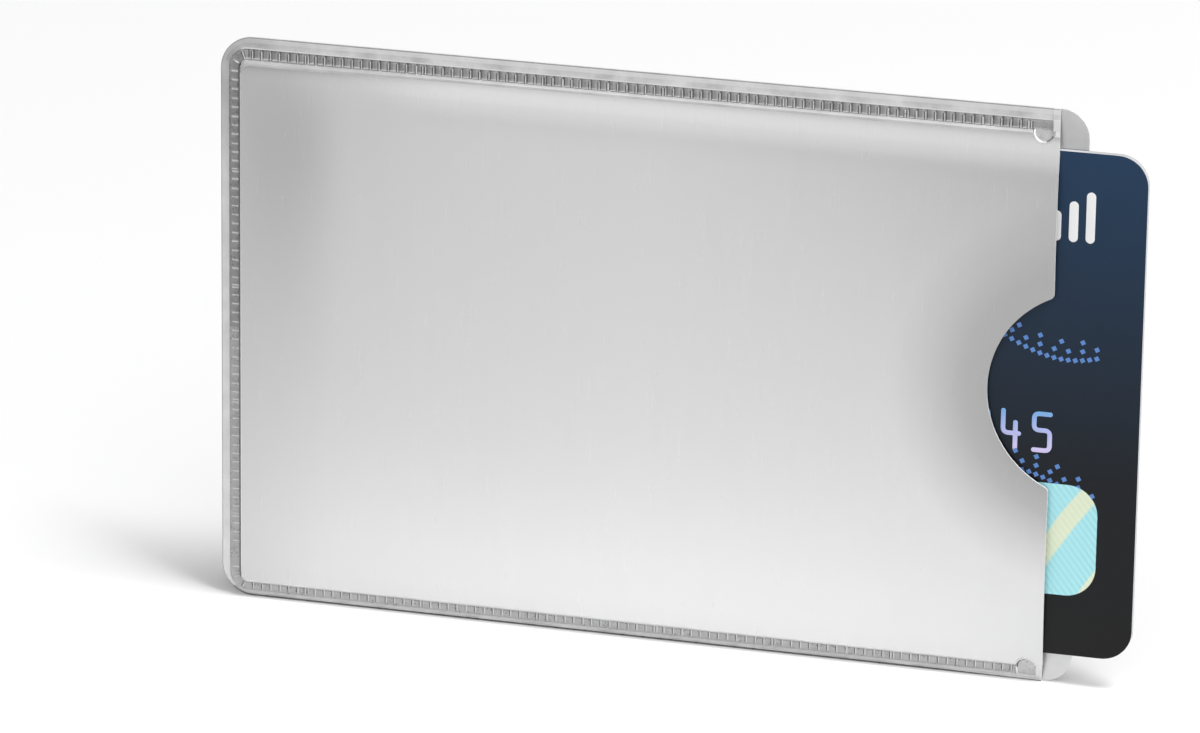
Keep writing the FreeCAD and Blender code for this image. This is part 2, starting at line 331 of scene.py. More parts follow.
def seam_rear(x, z, depth):
    """Rear of the welded front sheet: on the rear sheet along the weld, free of it on the strip."""
    return SHEET + strip_share(x) * max(0, depth - 2 * SHEET)


def pressed(x, z, depth):
    """The depth with the sheet opened under the spot welds, whose rims cover the edge."""
    for spot_x, spot_z, radius in SPOTS.values():
        away = math.hypot(x - spot_x, z - spot_z)
        wall = smooth_step(radius, radius * (1 + SPOT_RIM) / 2, away)
        depth = min(depth, CRATER_FLOOR) + max(0, depth - CRATER_FLOOR) * wall
    return depth


def shoulder_depth(x, z):
    """Depth of the outer face over the shoulder and the field beside the lengthwise seams."""
    inset = WELD_HIGH - WELD_WIDTH - z if z > 0 else z - WELD_LOW - WELD_WIDTH
    lean = math.acos(np.clip(1 - inset / SHOULDER, 0, 1))
    return unwelded(x, z, SHOULDER_FOOT + (film_depth(x, z) - SHOULDER_FOOT) * math.sin(lean))


def shoulder_rows():
    """Outlines of the shoulder from the weld's inner edge to the field, as (x, z, depth) rows."""
    rows = []
    for lean in np.radians(np.linspace(0, 90, SHOULDER_ROWS)):
        inset = SHOULDER * (1 - math.cos(lean))
        radius = WELD_CORNER + (POCKET_CORNER - WELD_CORNER) * inset / SHOULDER
        outline = u_outline(
            WELD_LEFT + WELD_WIDTH + inset,
            WELD_LOW + WELD_WIDTH + inset,
            WELD_HIGH - WELD_WIDTH - inset,
            radius,
        )
        row = []
        for x, z in outline:
            depth = SHOULDER_FOOT + (film_depth(x, z) - SHOULDER_FOOT) * math.sin(lean)
            depth = unwelded(x, z, depth)
            row.append((drawn_in(x, depth), z, pressed(x, z, depth)))
        rows.append(row)
    return np.array(rows)


def field_grid(border):
    """Points over the field inside the shoulder's last outline, out to the mouth edge."""
    half = ARC_STEPS // 2
    low_corner = len(COLUMNS) - 1 + half
    high_corner = low_corner + 2 * half + len(ROWS) - 1
    bottom = border[low_corner::-1, :2]
    top = border[high_corner:, :2]
    left = border[low_corner : high_corner + 1, :2]
    mouth_z = np.concatenate(
        (
            np.linspace(bottom[-1, 1], CORNER_LOW, half, endpoint=False),
            ROWS,
            np.linspace(CORNER_HIGH, top[-1, 1], half + 1)[1:],
        )
    )
    right = np.column_stack((np.full(len(mouth_z), MOUTH_X), mouth_z))
    u = ((bottom[:, 0] - bottom[0, 0]) / (MOUTH_X - bottom[0, 0]))[None, :, None]
    v = ((mouth_z - mouth_z[0]) / (mouth_z[-1] - mouth_z[0]))[:, None, None]
    plain = (1 - v) * bottom[None] + v * top[None] + (1 - u) * left[:, None] + u * right[:, None]
    plain = plain - (1 - u) * (1 - v) * bottom[0] - u * (1 - v) * bottom[-1]
    plain = plain - (1 - u) * v * top[0] - u * v * top[-1]
    cut = np.array([mouth_edge(z) - MOUTH_X for z in mouth_z])
    plain[:, :, 0] += cut[:, None] * u[:, :, 0] ** NOTCH_PULL
    rows = []
    for row in plain:
        depths = [unwelded(x, z, film_depth(x, z)) for x, z in row]
        rows.append([(drawn_in(x, d), z, pressed(x, z, d)) for (x, z), d in zip(row, depths)])
    return np.array(rows)


def wall_mark(row, right, low, high):
    """Which material a face of the shoulder takes, by its row and its place round the sleeve."""
    # Bands of darker and lighter film on the shoulder are painted shade and painted highlight.
    if right < WELD_LEFT + WELD_WIDTH + SHOULDER:
        return END_WALL
    if low > CORNER_HIGH and right < LADDER_END:
        return WALL_FOOT if row < FOOT_ROWS else ROLLED_WALL if row >= ROLL_ROW else PLAIN_WALL
    return LOW_WALL if high < CORNER_LOW else PLAIN_WALL


def front_sheet(materials):
    """The formed front sheet: shoulder and field in one skin, closed to the laminate's thickness."""
    shoulder = shoulder_rows()
    field = field_grid(shoulder[-1])
    points = np.concatenate((shoulder.reshape(-1, 3), field.reshape(-1, 3)))
    ring = point_table(shoulder)
    walls = grid_faces(ring)
    inner = grid_faces(point_table(field, ring.size))
    marks = []
    for number, face in enumerate(walls):
        xs, zs = points[face, 0], points[face, 1]
        marks.append(wall_mark(number // (ring.shape[1] - 1), max(xs), min(zs), max(zs)))
    marks += [SHEET_FIELD] * len(inner)
    mesh = closed_sheet(
        "front_sheet",
        points,
        walls + inner,
        lambda x, z, depth: max(depth - SHEET, SHEET),
        rim_material=SHEET_RIM,
        face_materials=marks,
    )
    replaced = ("front_cover_film", "front_shield_foil", "front_liner_film")
    return add_piece("front_sheet", mesh, materials, "sleeve", replaced)


# Welded edge

CUT_EDGE = 0.09
# Width of the painted contact shadow along the bottom edge.
LOW_EDGE_SHADOW = 0.2
EDGE_THINS = 14.0
DARK_BAND_FROM = 0.45
# Share of the way from the edge to the weld, width of the cut edge (along the bottom a wider band of painted
# contact shadow), depth
MARGIN_STATIONS = (
    (0, 0, 0.30),
    (0, 0, 0.44),
    (0, 0.06, 0.475),
    (0, CUT_EDGE, 0.48),
    (0.45, 0, 0.485),
    (0.74, 0, 0.49),
    (0.86, 0, 0.525),
    (0.97, 0, 0.52),
    (1, 0, 0.46),
    (1, 0, 0.30),
)
BEAD_FROM = 0.86
MARGIN_WAVE = 0.02
MARGIN_WAVE_LENGTH = 3.1
LOW_EDGE_SHARE = 0.5
MARGIN_PLAIN, MARGIN_EDGE, MARGIN_RIM, MARGIN_LOW_SHADOW, MARGIN_DARK_BAND, MARGIN_BEAD = range(6)
# Share of the way across the weld, depth of a cell, share of a ridge's height
WELD_STATIONS = (
    (0, 0.46, 0),
    (0.07, 0.41, 0),
    (0.15, 0.36, 0.1),
    (0.24, 0.335, 0.8),
    (0.35, 0.33, 1),
    (0.6, 0.33, 1),
    (0.78, 0.33, 1),
    (0.86, 0.335, 0.9),
    (0.93, 0.37, 0.8),
    (1, 0.41, 0.5),
)
WELD_STEP = 0.12
WELD_ROUGH = 0.012
WELD_ROUGH_LENGTH = 0.5
WELD_ROUGH_SEED = 1.3
WELD_SHARP = 75
# Where the weld's painted light and painted shade begin: the bottom's lit ledge and cells, the top's
# highlighted rail, and the shaded, plain and lit parts of the top cells.
LEDGE_TO = 0.05
LIT_TO = 0.75
RAIL_FROM = 0.93
DARK_PHASE = 0.2
MID_PHASE = 0.5
END_RIDGE_SHARE = 0.42
END_LOW_SHARE = 0.5
LIT_END_BELOW = -1.0
END_RISE = 22.0
# Marks of the weld's faces: plain, painted highlight, ledge (a painted highlight along the bottom, plain film
# on the strip), painted shade, cut edge and painted light.
CELL, RIDGE_HIGHLIGHT, LEDGE, PAINTED_SHADE_FACE, FILM_EDGE, LIT_CELL = range(6)
RIDGE_OFFSETS = (-0.24, -0.19, -0.15, -0.11, -0.07, -0.03, 0.03, 0.07, 0.11, 0.15, 0.19, 0.24)
RIDGE_SHAPE = 0.11
RIDGE_STRAY = 0.025
RIDGE_HEIGHTS = (0.7, 1.1)
RIDGE_ZONE = 0.5
RIDGE_TOP_SHARE = 0.55
RIDGE_FOOT_SHARE = 0.04
DOUBLE_EVERY = 13
DOUBLE_GAP = 0.3
DOUBLE_SHARE = 0.8
PLACE_DIGITS = 4
PLACE_END = 1e-9
WELD_SEED = 11
weld_random = np.random.default_rng(WELD_SEED)


def low_share(z):
    """1 along the bottom edge, falling to 0 round the corner."""
    return 1 - smooth_step(LOW_Z, LOW_Z + END_CORNER / 2, z)


def mouth_share(x):
    """0 along most of the sleeve, rising to 1 at the mouth."""
    return smooth_step(MOUTH_X - EDGE_THINS, MOUTH_X, x)


def edge_band_width(x, z):
    """How wide the dark outer band is beside its plain width: widest along the bottom, where it is painted
    contact shadow, plain at the mouth.
    """
    return 1 + (LOW_EDGE_SHADOW / CUT_EDGE - 1) * low_share(z) * (1 - mouth_share(x))


def margin_mark(here, after, x, z):
    """Which material a face of the margin takes, by its stations and its place round the sleeve."""
    # Along the bottom the outer band takes the darkest film: painted contact shadow.
    low = low_share(z) > LOW_EDGE_SHARE
    if after == 0:
        return MARGIN_LOW_SHADOW if low else MARGIN_EDGE
    # The bead's lighter film is a painted highlight.
    if here >= BEAD_FROM and after < 1 and x > CORNER_X - END_CORNER / 2:
        return MARGIN_BEAD
    # A darker, more mottled film on the top margin's inner half, and along the bottom as painted contact
    # shadow.
    dark_band = here >= DARK_BAND_FROM and z > CORNER_HIGH and x > CORNER_X - END_CORNER
    return MARGIN_DARK_BAND if low or dark_band else MARGIN_PLAIN


def seam_margin(materials):
    """The plain margin outside the weld, with the bead that the weld presses up along it."""
    outer = u_outline(END_X, LOW_Z, HIGH_Z, END_CORNER)
    weld = u_outline(WELD_LEFT, WELD_LOW, WELD_HIGH, WELD_CORNER + WELD_WIDTH)
    rows = []
    inward = (weld - outer) / np.linalg.norm(weld - outer, axis=1)[:, None]
    for share, offset, depth in MARGIN_STATIONS:
        widths = np.array([offset * edge_band_width(x, z) for x, z in outer])
        outline = outer + (weld - outer) * share + inward * widths[:, None]
        wave = [MARGIN_WAVE * noise_at(x, z, MARGIN_WAVE_LENGTH, share) for x, z in outline]
        depths = [unwelded(x, z, depth + w) for (x, z), w in zip(outline, wave)]
        xs = [drawn_in(x, d) for (x, _), d in zip(outline, depths)]
        rows.append(np.column_stack((xs, outline[:, 1], depths)))
    rows = np.array(rows)
    marks = []
    for (here, *_), (after, *_) in zip(MARGIN_STATIONS, MARGIN_STATIONS[1:]):
        marks.extend(margin_mark(here, after, x, z) for x, z in outer[1:])
    mesh = table_sheet("seam_margin", rows, seam_rear, rim_material=MARGIN_RIM, face_materials=marks)
    return add_piece("seam_margin", mesh, materials, "sleeve")


def ridge_row(start, stop):
    """Even places for the ridges between two ends, as near to the pitch as fits."""
    count = max(1, round((stop - start) / RIDGE_PITCH))
    step = (stop - start) / count
    return [start + (i + 0.5) * step for i in range(count)]


def weld_samples(length, start, stop):
    """Rows of (place, share of a ridge's height, share of the way across the cell) along a run."""
    ridges = []
    for number, place in enumerate(ridge_row(start, stop)):
        place += weld_random.normal(0, RIDGE_STRAY)
        height = weld_random.uniform(*RIDGE_HEIGHTS)
        if number % DOUBLE_EVERY == DOUBLE_EVERY // 2:
            ridges.append((place - DOUBLE_GAP / 2, height))
            ridges.append((place + DOUBLE_GAP / 2, DOUBLE_SHARE * height))
        else:
            ridges.append((place, height))
    step = length / max(2, round(length / WELD_STEP))
    places = set(np.round(np.arange(0, length + PLACE_END, step), PLACE_DIGITS))
    for place, _ in ridges:
        places.update(np.round([place + offset for offset in RIDGE_OFFSETS], PLACE_DIGITS))
    places = np.array(sorted({min(max(p, 0), length) for p in places}))
    heights = [sum(h * math.exp(-(((p - r) / RIDGE_SHAPE) ** 2)) for r, h in ridges) for p in places]
    ends = np.array([0, *(place for place, _ in ridges), length])
    before = np.clip(np.searchsorted(ends, places, side="right") - 1, 0, len(ends) - 2)
    phases = (places - ends[before]) / (ends[before + 1] - ends[before])
    phases[places > ends[-2]] = 1
    return list(zip(places, heights, phases))


def weld_run():
    """Rows of (outer point, inner point, ridge share, place within the cell) along the whole weld."""
    corner = WELD_CORNER + WELD_WIDTH
    centre_x = WELD_LEFT + corner
    low_z, high_z = WELD_LOW + corner, WELD_HIGH - corner
    length = MOUTH_X - centre_x
    arc = (WELD_CORNER + WELD_WIDTH / 2) * math.pi / 2

    def lengthwise(samples, outer_z, inner_z):
        return [((centre_x + p, outer_z), (centre_x + p, inner_z), h, phase) for p, h, phase in samples]

    def turned(samples, centre_z, start):
        rows = []
        for place, height, phase in samples[1:-1]:
            angle = start - place / arc * math.pi / 2
            away = np.array((math.cos(angle), math.sin(angle)))
            outer, inner = (tuple((centre_x, centre_z) + radius * away) for radius in (corner, WELD_CORNER))
            rows.append((outer, inner, height, phase))
        return rows

    run = lengthwise(weld_samples(length, 0, LADDER_END - centre_x)[::-1], WELD_LOW, WELD_LOW + WELD_WIDTH)
    run += turned(weld_samples(arc, 0, arc), low_z, -math.pi / 2)
    for place, height, phase in weld_samples(high_z - low_z, 0, high_z - low_z):
        height *= END_LOW_SHARE + (1 - END_LOW_SHARE) * smooth_step(0, END_RISE, place)
        run.append(((WELD_LEFT, low_z + place), (WELD_LEFT + WELD_WIDTH, low_z + place), height, phase))
    run += turned(weld_samples(arc, 0, arc), high_z, math.pi)
    run += lengthwise(weld_samples(length, 0, LADDER_END - centre_x), WELD_HIGH, WELD_HIGH - WELD_WIDTH)
    return run


def weld_side(pair):
    """Which side of the sleeve a pair of points of the weld run lies on."""
    outer, inner = pair[:2]
    if abs(outer[0] - inner[0]) <= WELD_WIDTH / 2:
        return "top" if outer[1] > 0 else "bottom"
    if outer[1] > CORNER_HIGH:
        return "corner"
    return "end" if outer[1] > LIT_END_BELOW else "low end"


def weld_mark(height, left_flank, phase, station, side):
    """Which material a face of the weld takes, by its side of the sleeve and its place in the cell."""
    # Lighter and darker copies of the weld film paint highlights on ridges, rail and ledge, light on cells,
    # and shade on flanks and cell ends.
    share, _, ridge_share = station
    ridged = ridge_share > RIDGE_ZONE
    if side not in ("top", "bottom"):
        ridge = CELL if side == "corner" else RIDGE_HIGHLIGHT
        plain = LIT_CELL if side == "low end" else CELL
        return ridge if ridged and height > END_RIDGE_SHARE else plain
    if ridged and height > RIDGE_TOP_SHARE:
        return RIDGE_HIGHLIGHT if side == "top" else LEDGE
    if ridged and height > RIDGE_FOOT_SHARE and (side == "top" or left_flank):
        return PAINTED_SHADE_FACE
    if side == "bottom":
        return LEDGE if share < LEDGE_TO else LIT_CELL if share < LIT_TO else CELL
    if share >= RAIL_FROM:
        return RIDGE_HIGHLIGHT
    return PAINTED_SHADE_FACE if phase < DARK_PHASE else CELL if phase < MID_PHASE else LIT_CELL


def across_weld(outer, inner, share):
    """The point at a share of the way across the weld."""
    return outer[0] + (inner[0] - outer[0]) * share, outer[1] + (inner[1] - outer[1]) * share


def weld_ladder(run, materials):
    """The pressed ladder weld: sunk cells parted by thin ridges, round three sides."""
    rows = []
    for outer, inner, height, _ in run:
        row = []
        for share, depth, ridge_share in WELD_STATIONS:
            x, z = across_weld(outer, inner, share)
            rough = WELD_ROUGH * noise_at(x, z, WELD_ROUGH_LENGTH, WELD_ROUGH_SEED)
            depth = unwelded(x, z, depth + RIDGE_HEIGHT * ridge_share * height + rough)
            row.append((drawn_in(x, depth), z, depth))
        rows.append(row)
    rows = np.array(rows)
    marks = []
    for here, after in zip(run, run[1:]):
        height = (here[2] + after[2]) / 2
        left_flank = (after[2] - here[2]) * (after[0][0] - here[0][0]) > 0
        strip = min(here[0][0], after[0][0]) > MOUTH_X - WELD_STOP - STRIP_FADE
        for station in WELD_STATIONS[:-1]:
            mark = weld_mark(height, left_flank, here[3], station, weld_side(here))
            marks.append(LEDGE if strip else mark)
    mesh = table_sheet("weld_ladder", rows, seam_rear, rim_material=FILM_EDGE, face_materials=marks)
    replaced = ("weld_seam_top", "weld_seam_end", "weld_seam_bottom")
    return add_piece("weld_ladder", mesh, materials, "sleeve", replaced, WELD_SHARP)


# Spot welds

# Shares of the radius at which a spot weld has its rings
SPOT_STATIONS = (0.15, 0.3, 0.45, 0.58, 0.68, 0.76, 0.83, 0.88)
SPOT_STATIONS += (0.9, 0.915, 0.93, 0.95, 0.97, 1.0, 1.05, SPOT_RIM)
SPOT_TURNS = 64
SPOT_FLOOR = 0.46
SPOT_SLOPE = 0.34
SPOT_WALL_FROM = 0.89
SPOT_WALL_TO = 0.97
SPOT_SHADE_FROM = 0.83
SPOT_PROUD = 0.012
SPOT_ROUGH = 0.05
SPOT_ROUGH_LENGTH = 0.4
SPOT_ROUGH_SEED = 8.1
SPOT_CALM_FROM = 0.6
SPOT_LAP = 0.06
SPOT_SHARP = 120
TOP_SPOT_SHADE = (285, 335)
LOW_SPOT_SHADE = (95, 190)
PAD_FLOOR, PAD_RIM, PAD_SHADE, PAD_WALL = range(4)


# The pale satin wall is a painted highlight round the rim, and the shaded side is painted shade.
def pad_mark(station, turn, shaded):
    """Which material a face of a spot weld takes: its rim, its shaded side, its wall or its floor."""
    if station >= SPOT_WALL_TO:
        return PAD_RIM
    if station >= SPOT_SHADE_FROM and shaded[0] < turn < shaded[1]:
        return PAD_SHADE
    return PAD_WALL if station >= SPOT_WALL_FROM else PAD_FLOOR


def spot_weld(node, upright, shaded, materials):
    """A spot weld: an uneven pressed floor, a wall round it and a rim that runs out into the sheet."""
    spot_x, spot_z, radius = SPOTS[node]
    seam = WELD_HIGH - WELD_WIDTH + SPOT_LAP if upright > 0 else WELD_LOW
    points = [(spot_x, spot_z, SPOT_FLOOR + SPOT_SLOPE * abs(seam - spot_z))]
    for station in SPOT_STATIONS:
        for turn in np.linspace(0, 2 * math.pi, SPOT_TURNS, endpoint=False):
            reach = radius * station
            if math.sin(turn) * upright > 0:
                reach /= max(abs(math.cos(turn)), abs(math.sin(turn)))
            x = spot_x + reach * math.cos(turn)
            z = spot_z + reach * math.sin(turn)
            z = min(z, seam) if upright > 0 else max(z, seam)
            rough = SPOT_ROUGH * noise_at(x, z, SPOT_ROUGH_LENGTH, SPOT_ROUGH_SEED)
            rough *= 1 - smooth_step(SPOT_CALM_FROM, SPOT_WALL_FROM, station)
            floor = SPOT_FLOOR + SPOT_SLOPE * abs(seam - z) + rough
            rim = shoulder_depth(x, z) + SPOT_PROUD * (1 if station < SPOT_RIM else -1)
            wall = smooth_step(SPOT_WALL_FROM, SPOT_WALL_TO, station)
            points.append((x, z, floor + (max(rim, floor) - floor) * wall))
    rings = 1 + np.arange(len(SPOT_STATIONS) * SPOT_TURNS).reshape(len(SPOT_STATIONS), SPOT_TURNS)
    rings = np.column_stack((rings, rings[:, 0]))
    faces = grid_faces(rings)
    faces += [[0, int(rings[0, i]), int(rings[0, i + 1])] for i in range(SPOT_TURNS)]
    marks = []
    for station in SPOT_STATIONS[:-1]:
        marks.extend(pad_mark(station, turn, shaded) for turn in np.arange(SPOT_TURNS) * 360 / SPOT_TURNS)
    marks += [PAD_FLOOR] * SPOT_TURNS
    mesh = closed_sheet(node + "_pad", points, faces, lambda x, z, depth: SHEET, face_materials=marks)
    return add_piece(node + "_pad", mesh, materials, "sleeve", (node,), SPOT_SHARP)


# Rear sheet

IMPRINT = 0.10
IMPRINT_OUT, IMPRINT_IN = 0.1, 0.15
IMPRINT_FADE = 0.2
REAR_WAVE = 0.09
REAR_WAVE_LENGTHS = (24, 19)
REAR_WAVE_SEED = 5.2
REAR_CALM = 6
REAR_BORDER = (0, 0.06, 0.3, 0.45, 0.6, 0.75, 0.9, 1.05, 1.2, 1.4, 1.6, 1.75, 1.9, 2.1, 2.3, 2.5, 3.0)
REAR_INNER = 4
REAR_STEP = 1.2
REAR_FACE, REAR_RIM = 1, 2
TRACE_FACE = 0.004
TRACE_DEPTH = 0.05
TRACE_RIDGE = 0.8
TRACE_INSIDE = 0.16
# Share of the way across the weld, share of the trace's depth
TRACE_STATIONS = ((0, 0), (0.08, 0.6), (0.16, 1), (0.5, 1), (0.84, 1), (0.92, 0.6), (1, 0))


def rear_relief(x, z, depth):
    """How far the rear face is pressed in: a shallow trace of the weld and slow ripples."""
    inset = min(x - WELD_LEFT, z - WELD_LOW, WELD_HIGH - z)
    trace = smooth_step(-IMPRINT_OUT, IMPRINT_IN, inset)
    trace -= smooth_step(WELD_WIDTH - IMPRINT_IN, WELD_WIDTH + IMPRINT_OUT, inset)
    trace *= 1 - smooth_step(MOUTH_X - WELD_STOP - IMPRINT_FADE, MOUTH_X - WELD_STOP, x)
    length_x, length_z = REAR_WAVE_LENGTHS
    ripple = 0.5 + 0.5 * noise.noise(Vector((x / length_x, z / length_z, REAR_WAVE_SEED)))
    middle = smooth_step(0, REAR_CALM, min(x - END_X, LIP_X - x, z - LOW_Z, HIGH_Z - z))
    return IMPRINT * trace + REAR_WAVE * ripple * middle


def weld_trace(run, materials):
    """The weld's faint mark on the rear sheet: shallow cells with the ridges' backs between them."""
    rows = []
    for outer, inner, height, _ in run:
        row = []
        for share, sunk in TRACE_STATIONS:
            x, z = across_weld(outer, inner, share)
            sunk *= 1 - strip_share(x)
            row.append((x, z, TRACE_FACE + TRACE_DEPTH * sunk * (1 - TRACE_RIDGE * min(1, height))))
        rows.append(row)
    rows = np.array(rows)
    marks = []
    for here, after in zip(run, run[1:]):
        ridge = (here[2] + after[2]) / 2 > RIDGE_TOP_SHARE
        marks.extend([int(ridge)] * (len(TRACE_STATIONS) - 1))
    mesh = closed_sheet(
        "weld_trace",
        rows.reshape(-1, 3),
        grid_faces(point_table(rows)[:, ::-1]),
        lambda x, z, depth: TRACE_INSIDE,
        face_materials=marks,
    )
    return add_piece("weld_trace", mesh, materials, "sleeve", sharp_angle=WELD_SHARP)


def bordered(low, high):
    """Rising places between two edges, close together along each and wider apart between."""
    inner = levels((low + REAR_INNER, high - REAR_INNER, REAR_STEP))
    return np.concatenate(([low + b for b in REAR_BORDER], inner, [high - b for b in REAR_BORDER[::-1]]))


def rear_sheet(materials):
    """The rear sheet with the lip that the mouth leaves bare, its corners rounded."""
    rows = []
    for z in bordered(LOW_Z, HIGH_Z):
        row = []
        for x in bordered(END_X, LIP_X):
            radius = END_CORNER if x < 0 else LIP_CORNER
            row.append((*rounded(x, z, END_X, LIP_X, LOW_Z, HIGH_Z, radius), SHEET))
        rows.append(row)
    rows = np.array(rows)
    mesh = table_sheet("rear_sheet", rows, rear_relief, rear_material=REAR_FACE, rim_material=REAR_RIM)
    replaced = ("back_cover_film", "back_shield_foil", "back_liner_film")
    return add_piece("rear_sheet", mesh, materials, "sleeve", replaced)


def rounded(x, z, left, right, low, high, radius):
    """A point of a rectangle drawn in so that the rectangle's corners become round."""
    side_x = math.copysign(1, x - (left + right) / 2)
    side_z = math.copysign(1, z - (low + high) / 2)
    corner_x = (right - radius) if side_x > 0 else (left + radius)
    corner_z = (high - radius) if side_z > 0 else (low + radius)
    past_x = (x - corner_x) * side_x
    past_z = (z - corner_z) * side_z
    if past_x <= 0 or past_z <= 0:
        return x, z
    shrink = max(past_x, past_z) / math.hypot(past_x, past_z)
    return corner_x + side_x * past_x * shrink, corner_z + side_z * past_z * shrink


# Card print: plain numbers, bars and dots

DIGIT_HEIGHT = 4.4
DIGIT_WIDTH = 2.15
DIGIT_PITCH = 3.24
DIGIT_GROUP = 4
DIGIT_GROUP_GAP = 1.15
DIGIT_STROKE = 0.49
DIGIT_CORNER = 0.55
DIGIT_BASE = 21.7
DIGIT_RIGHT = 9.0
DIGIT_RISE = 0.014
PRINT_SINK = 0.01
EASE_STEPS = 7
EASE_LIMIT = 0.49
CARD_NUMBER = "0123456789012345"
DIGIT_STROKES = {
    "0": ([(0, 0), (0, 2), (1, 2), (1, 0), (0, 0)],),
    "1": ([(0.15, 1.65), (0.55, 2), (0.55, 0)], [(0.15, 0), (0.95, 0)]),
    "2": ([(0, 2), (1, 2), (1, 1), (0, 1), (0, 0), (1, 0)],),
    "3": ([(0, 2), (1, 2), (1, 1), (0.25, 1)], [(1, 1), (1, 0), (0, 0)]),
    "4": ([(0, 2), (0, 0.8), (1, 0.8)], [(0.78, 1.4), (0.78, 0)]),
    "5": ([(1, 2), (0, 2), (0, 1.1), (1, 1.1), (1, 0), (0, 0)],),
    "6": ([(0.6, 2), (0, 2), (0, 0), (1, 0), (1, 1), (0, 1)],),
    "7": ([(0, 2), (1, 2), (0.45, 1), (0.45, 0)],),
    "8": ([(0, 0), (0, 2), (1, 2), (1, 0), (0, 0)], [(0, 1.05), (1, 1.05)]),
    "9": ([(1, 1), (0, 1), (0, 2), (1, 2), (1, 0), (0.4, 0)],),
}


def eased_path(corners, radius):
    """Points along a stroke with its corners rounded."""
    corners = [np.array(c, float) for c in corners]
    closed = np.allclose(corners[0], corners[-1])
    inner = corners[:-1] if closed else corners[1:-1]
    points = [] if closed else [corners[0]]
    count = len(corners)
    for number, here in enumerate(inner):
        place = number if closed else number + 1
        before = corners[place - 1] if place else corners[count - 2]
        after = corners[(place + 1) % count]
        back_length, ahead_length = np.linalg.norm(before - here), np.linalg.norm(after - here)
        back = (before - here) / back_length
        ahead = (after - here) / ahead_length
        half_turn = math.acos(np.clip(back @ ahead, -1, 1)) / 2
        reach = min(radius / math.tan(half_turn), EASE_LIMIT * min(back_length, ahead_length))
        for share in np.linspace(0, 1, EASE_STEPS):
            a = here + back * reach * (1 - share)
            b = here + ahead * reach * share
            points.append(a + (b - a) * share)
    points.append(points[0] if closed else corners[-1])
    return np.array(points), closed


RIBBON_SHARES = (-1, -0.8, 0, 0.8, 1)
RIBBON_RISE_SHARES = (0, 0.85, 1, 0.85, 0)
ROUND_END_STEPS = 5
ROUND_END_ANGLES = (8, 82)


def round_end(place, outward, across, half, angles):
    """Rows of (place, direction across, half width) that round off one end of a stroke."""
    return [(place + outward * math.cos(a) * half, across, math.sin(a) * half) for a in angles]


def ribbon(path, closed, width, depth, rise):
    """Points and faces of a printed stroke: a flat ribbon with round ends, standing a hair proud."""
    ahead = np.gradient(path, axis=0)
    if closed:
        ahead[0] = ahead[-1] = path[1] - path[-2]
    ahead /= np.linalg.norm(ahead, axis=1)[:, None]
    across = np.column_stack((-ahead[:, 1], ahead[:, 0]))
    stations = [(place, side, width / 2) for place, side in zip(path, across)]
    if not closed:
        angles = np.radians(np.linspace(*ROUND_END_ANGLES, ROUND_END_STEPS))
        first = round_end(path[0], -ahead[0], across[0], width / 2, angles)
        last = round_end(path[-1], ahead[-1], across[-1], width / 2, angles[::-1])
        stations = first + stations + last
    points = []
    for place, side, reach in stations:
        for share, up in zip(RIBBON_SHARES, RIBBON_RISE_SHARES):
            points.append((*(place + side * reach * share), depth + rise * up))
    return points, grid_faces(np.arange(len(points)).reshape(len(stations), len(RIBBON_SHARES)))


def printed(name, shapes, depth, materials):
    """One printed layer on the card from many small low shapes."""
    points = []
    faces = []
    for shape_points, shape_faces in shapes:
        start = len(points)
        points.extend(shape_points)
        faces.extend([[start + i for i in face] for face in shape_faces])
    mesh = closed_sheet(name, points, faces, lambda x, z, d: depth - PRINT_SINK)
    return add_piece(name, mesh, materials, "card")


def card_number(materials):
    """Sixteen plain digits in four groups along the card."""
    shapes = []
    x = CARD_RIGHT - DIGIT_RIGHT - DIGIT_WIDTH
    base = CARD_LOW + DIGIT_BASE
    for number, digit in enumerate(reversed(CARD_NUMBER)):
        for stroke in DIGIT_STROKES[digit]:
            corners = [
                (
                    x + DIGIT_STROKE / 2 + a * (DIGIT_WIDTH - DIGIT_STROKE),
                    base + DIGIT_STROKE / 2 + b / 2 * (DIGIT_HEIGHT - DIGIT_STROKE),
                )
                for a, b in stroke
            ]
            path, closed = eased_path(corners, DIGIT_CORNER)
            shapes.append(ribbon(path, closed, DIGIT_STROKE, CARD_FACE, DIGIT_RISE))
        x -= DIGIT_PITCH
        if number % DIGIT_GROUP == DIGIT_GROUP - 1:
            x -= DIGIT_GROUP_GAP
    return printed("card_number", shapes, CARD_FACE, materials)


BAR_COUNT = 4
BAR_WIDTH = 0.95
BAR_PITCH = 1.75
BAR_HEIGHT = 5.4
BAR_RIGHT = 5.3
BAR_TOP = 4.1
BAR_STEP = 1.1
BAR_POINTS = 6


def card_bars(materials):
    """Four plain white bars of stepped height near the card's upper corner."""
    shapes = []
    base = CARD_HIGH - BAR_TOP - BAR_HEIGHT
    for number in range(BAR_COUNT):
        x = CARD_RIGHT - BAR_RIGHT - BAR_WIDTH / 2 - number * BAR_PITCH
        high = base + BAR_HEIGHT - number * BAR_STEP
        path = np.linspace((x, base + BAR_WIDTH / 2), (x, high - BAR_WIDTH / 2), BAR_POINTS)
        shapes.append(ribbon(path, False, BAR_WIDTH, CARD_FACE, DIGIT_RISE))
    return printed("card_bars", shapes, CARD_FACE, materials)


DOT_SIZE = 0.46
DOT_PITCH = 0.74
DOT_ROWS = 3
DOT_TILT = math.radians(28)
DOT_WAVE = 2.6
DOT_WAVE_LENGTH = 31.0
DOT_WAVE_SHIFT = 1.9
DOT_ROW_GAP = 0.95
DOT_MARGIN = 4.0
DOT_CLEAR = 0.7
DOT_Z = (17.2, 34.5)


